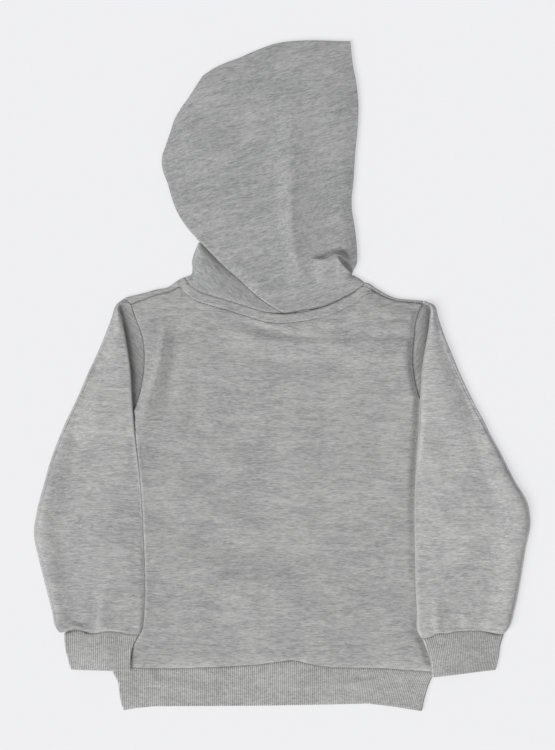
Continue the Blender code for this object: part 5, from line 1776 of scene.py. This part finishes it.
BACK_RELIEF = relief((
    (4.2, 9, 4, ((-117.5, 52), (-118.5, 42), (-121, 28), (-124.5, 8), (-129.5, -10), (-135, -27), (-139, -44),
                 (-142, -60)), 0.15, 0.3, 1.2, 0.06),
    (-1.4, 9, 7, ((-104, 44), (-106, 22), (-110, 0), (-116, -22), (-122, -46))),
    (-2.2, 5, 7, ((-58, 60), (-40, 54), (-18, 48), (4, 42), (22, 40), (38, 43)), 0.35, 0.4),
    (2.4, 5, 9, ((-66, 50), (-44, 42), (-20, 37), (4, 33), (40, 31), (76, 33), (108, 37)), 0.25, 0.3),
    (-1.4, 8, 8, ((-50, 22), (0, 12), (50, 10), (96, 18))),
    (1.9, 4, 6, ((84, 44), (98, 48), (114, 52), (128, 54)), 0.4, 0.3),
    (-1.5, 4, 5, ((80, 36), (98, 40), (118, 41), (134, 38)), 0.4, 0.3),
    (1.4, 4, 6, ((62, 60), (76, 62), (92, 66), (104, 70))),
    (1.6, 16, 20, ((-95, -60), (-40, -84), (30, -100), (84, -104))),
    (-1.2, 14, 14, ((-100, -110), (-30, -130), (50, -140))),
    (-1.2, 14, 18, ((-100, -160), (-30, -176), (60, -170))),
    (1.5, 16, 14, ((-90, -196), (-20, -206), (50, -194), (100, -200))),
    (1.3, 14, 12, ((-70, -240), (10, -232), (92, -244))),
    (-1.2, 12, 12, ((70, -10), (92, -54), (100, -100))),
    (-1.0, 10, 9, ((-76, 16), (-88, -30), (-84, -70))),
    (2.0, 3, 8, ((98, -290), (106, -286), (114, -283.5), (122, -281.8), (130, -281)), 0.3, 0.4),
    (-0.8, 5, 4, ((104, -279), (118, -275), (130, -274)), 0.3, 0.4),
    (2.2, 4, 5, ((0, -272), (10, -279), (16, -284)), 0.5, 0.3),
), ((52, 1.5, 11, 1.6, 8), (20, 0.7, 12, 1.9, -12), (8, 0.2, 13, 1.8, 5)))
HOOD_RELIEF = relief((
    (3.9, 19, 14, ((11, 300), (10, 250), (9.5, 210), (9.5, 176), (10, 144), (13, 124), (18, 108), (24, 94)),
     0.3, 0.15, 1.7),
    (1.5, 9, 8, ((9.5, 216), (9.5, 190), (9.5, 160), (11, 132), (16, 112), (24, 96), (33, 86)), 0.3, 0.2, 1.3, 0.08),
    (1.2, 9, 9, ((-60, 116), (-42, 100), (-24, 86), (-8, 76))),
    (6.5, 1.0, 11, ((27, 117), (35, 116), (43, 116.5), (48, 119.5), (53, 121.5), (58, 120.5), (63, 117.5),
                    (68, 115)), 0.4, 0.25, 1.3, 0.5),
    (-2.4, 5, 1.6, ((29, 119), (36, 118.5), (43, 119.5), (49, 122.8), (54, 124.5), (60, 122.5), (66, 119)), 0.3, 0.3),
    (4.4, 1.0, 8, ((54.5, 119), (58, 113.5), (62.5, 108.5), (67, 104.7), (71, 102)), 0.15, 0.05, 1.4, 0.5),
    (-1.2, 2.5, 1.3, ((58, 117), (62, 111.5), (67, 107), (71, 104.5)), 0.3, 0.1),
    (1.1, 18, 24, ((-60, 262), (-72, 225), (-78, 190))),
    (-0.8, 14, 16, ((-34, 296), (-42, 250), (-46, 210))),
    (0.8, 10, 14, ((40, 300), (48, 262), (46, 220))),
    (-0.7, 9, 10, ((50, 200), (46, 170), (52, 140))),
    (0.7, 8, 9, ((-60, 150), (-30, 158), (-6, 170))),
    (1.6, 3, 6, ((34, 84), (38, 96), (46, 106))),
), ((44, 0.8, 21, 1.4, 70), (17, 0.3, 22, 1.5, 20), (8, 0.16, 23, 1.6, 16)))
SLEEVE_RELIEFS = {
    Side.LEFT: relief((
        (1.0, 9, 11, ((-178, 20), (-186, -20), (-196, -60), (-204, -100))),
        (-0.9, 8, 9, ((-166, -30), (-176, -70), (-186, -112))),
        (0.9, 7, 10, ((-160, -120), (-176, -150), (-200, -170))),
        (-0.8, 8, 8, ((-158, -170), (-180, -186), (-210, -190))),
        (0.9, 7, 8, ((-236, -120), (-238, -150), (-228, -180))),
        (1.9, 10, 5, ((-177, -220), (-179, -234), (-181, -248), (-183, -258)), 0.4, 0.05),
        (-2.2, 4, 5, ((-184, -216), (-186, -232), (-188, -247), (-189, -256)), 0.4, 0.05),
        (2.2, 2.2, 4, ((-214, -250), (-208, -249.5), (-203, -250.5), (-199, -254)), 0.3, 0.2),
        (-1.0, 2.2, 2, ((-212.5, -255.6), (-207, -254), (-202, -254.2), (-198.5, -256.4)), 0.2, 0.2, 2, 0.6),
    ), ((38, 0.8, 31, 1.5, 100), (15, 0.35, 32, 1.6, 20), (8, 0.15, 33, 1.6))),
    Side.RIGHT: relief((
        (0.9, 9, 11, ((160, 20), (170, -20), (180, -60), (190, -100))),
        (-0.8, 8, 9, ((150, -36), (162, -72), (172, -112))),
        (0.9, 7, 10, ((150, -126), (170, -150), (200, -160))),
        (-0.8, 8, 8, ((150, -178), (176, -190), (206, -188))),
        (2.0, 6, 3, ((153, -214), (153.5, -230), (154, -246), (154, -256)), 0.4, 0.05),
        (1.5, 4, 6, ((201, -252), (205, -246), (210, -241)), 0.3, 0.4),
        (-1.2, 4, 6, ((176, -236), (178, -246), (176, -254)), 0.4, 0.05),
    ), ((38, 0.8, 41, 1.5, 80), (15, 0.35, 42, 1.6, -20), (8, 0.15, 43, 1.6))),
}
UNDER_RELIEF = relief((
    (0.5, 6, 8, ((-110, 20), (-60, 6), (20, 0), (100, 16))),
    (0.5, 7, 5, ((-90, -120), (-10, -136), (84, -124))),
    (0.45, 6, 6, ((-60, -220), (30, -228), (96, -214))),
), [(30, 0.25, 51, 1.4)])
SLEEVE_UNDER = relief((), ((24, 0.3, 61, 1.5, 90), (10, 0.12, 62)))
HOOD_UNDER = relief((
    (0.5, 6, 8, ((-70, 250), (-40, 200), (-50, 150))),
    (0.5, 8, 6, ((30, 290), (36, 230), (24, 180))),
), [(28, 0.25, 71, 1.3, 70)])
CUFF_RELIEF = relief((), [(14, 0.35, 81, 2.0, 90)])
BAND_RELIEF = relief((
    (1.0, 6, 4, ((-150, -299), (-128, -304), (-96, -312), (-70, -316))),
    (0.9, 5, 5, ((20, -312), (60, -306), (100, -312))),
), [(18, 0.4, 91, 1.6, 90)])

BODY_FLEECE = MarlFinish("body_fleece", (0.465, 0.468, 0.46), (0.19, 0.193, 0.192), streak_length=8.8)
HOOD_FLEECE = MarlFinish("hood_fleece", (0.432, 0.436, 0.431), (0.175, 0.178, 0.178), streak_length=8.0)
RIB_KNIT = MarlFinish("rib_knit", (0.617, 0.62, 0.6), (0.288, 0.292, 0.284), streak_length=4.0, rib_shade=0.55)
RIB_RISE = 0.5

# How each side's sleeve and cuff differ from the other's: how much paler the sleeve's upper layer is, its painted
# shade and painted highlights, and the cuff's fan of ribs.
SLEEVE_LOOKS = {
    Side.LEFT: {"pale": 1.075, "rim": 0.7},
    Side.RIGHT: {"pale": 1.15, "gore_shade": 0.66, "gore_near": 0.05, "gore_start": 1.6, "rim": 0.1, "rim_in": 1.3,
                 "outer_rim": 0.7, "top_shade": 0.3},
}
CUFF_LOOKS = {Side.LEFT: {"fan": 0.25, "rim": 0.7}, Side.RIGHT: {"fan": 0.8, "rim": 0.0}}


def cut_sheet(piece: bpy.types.Object, slot: str, node: str, flat: Point, area: float, held: Hold,
              *rests_on: bpy.types.Object) -> None:
    """Attach a piece of cloth to the root body, hide the solid that it replaces and log its count of faces.

    Args:
        piece: The finished piece.
        slot: The record's material slot; not used.
        node: The solid that it stands for.
        flat: Width and length of its cut, in metres; not used.
        area: Flat area of the cut in square metres; not used.
        held: How it is held; not used.
        rests_on: The pieces that it lies on; not used.
    """
    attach(piece, "root")
    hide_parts(node)
    LOG.info("%s: %d faces", piece.name, len(piece.data.polygons))


def main() -> None:
    logging.basicConfig(level=logging.INFO, format="%(message)s")
    for old in list(bpy.context.scene.objects):
        bpy.data.objects.remove(old)
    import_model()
    layout = Layout()
    Studio().build()
    marl = marl_group()
    body, hood, knit = (finish.build(marl) for finish in (BODY_FLEECE, HOOD_FLEECE, RIB_KNIT))
    thread = ThreadFinish().build()
    ribs, stitches = rib_tree(), stitch_tree()

    front = Front(layout, UNDER_RELIEF).build()
    back = Back(layout, BACK_RELIEF).build()
    sleeves = {side: Sleeve(side, layout, SLEEVE_RELIEFS[side], SLEEVE_UNDER, **SLEEVE_LOOKS[side]).build(
        side.named("fleece_sleeve")) for side in Side}
    cuffs = {side: Cuff(layout, CUFF_RELIEF, side=side, **CUFF_LOOKS[side]).build(side.named("rib_cuff"))
             for side in Side}
    band = HemBand(layout, BAND_RELIEF).build()
    halves = Hood(HOOD_RELIEF, HOOD_UNDER)
    hood_right, hood_left = halves.right_half(), halves.left_half()

    for finish, pieces in ((body, (front, back, *sleeves.values())), (hood, (hood_right, hood_left)),
                           (knit, (band, *cuffs.values()))):
        for piece in pieces:
            piece.data.materials.append(finish)
            if finish is knit:
                apply_tree(piece, ribs, {"Rise": RIB_RISE * MM, "Knit": knit})
    row = StitchRow("stitch_neck_band", NECK_STITCHES).build((back, front), stitches, thread)

    cut_sheet(front, "body_fleece", "front", (0.35, 0.40), 0.111, Hold.LAID)
    cut_sheet(back, "body_fleece", "back", (0.35, 0.39), 0.115, Hold.LAID, front)
    for side, sleeve in sleeves.items():
        cut_sheet(sleeve, "body_fleece", side.named("sleeve"), (0.23, 0.34), 0.055, Hold.FOLDED, back)
    for side, cuff in cuffs.items():
        cut_sheet(cuff, "rib_knit", side.named("cuff"), (0.15, 0.037), 0.005, Hold.FOLDED, back)
    cut_sheet(band, "rib_knit", "hem_band", (0.64, 0.042), 0.0245, Hold.LAID)
    cut_sheet(hood_right, "hood_fleece", "hood_right", (0.20, 0.27), 0.0432, Hold.FOLDED, hood_left)
    cut_sheet(hood_left, "hood_fleece", "hood_left", (0.21, 0.27), 0.0462, Hold.FOLDED)
    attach(row, "root")


if __name__ == "__main__":
    main()
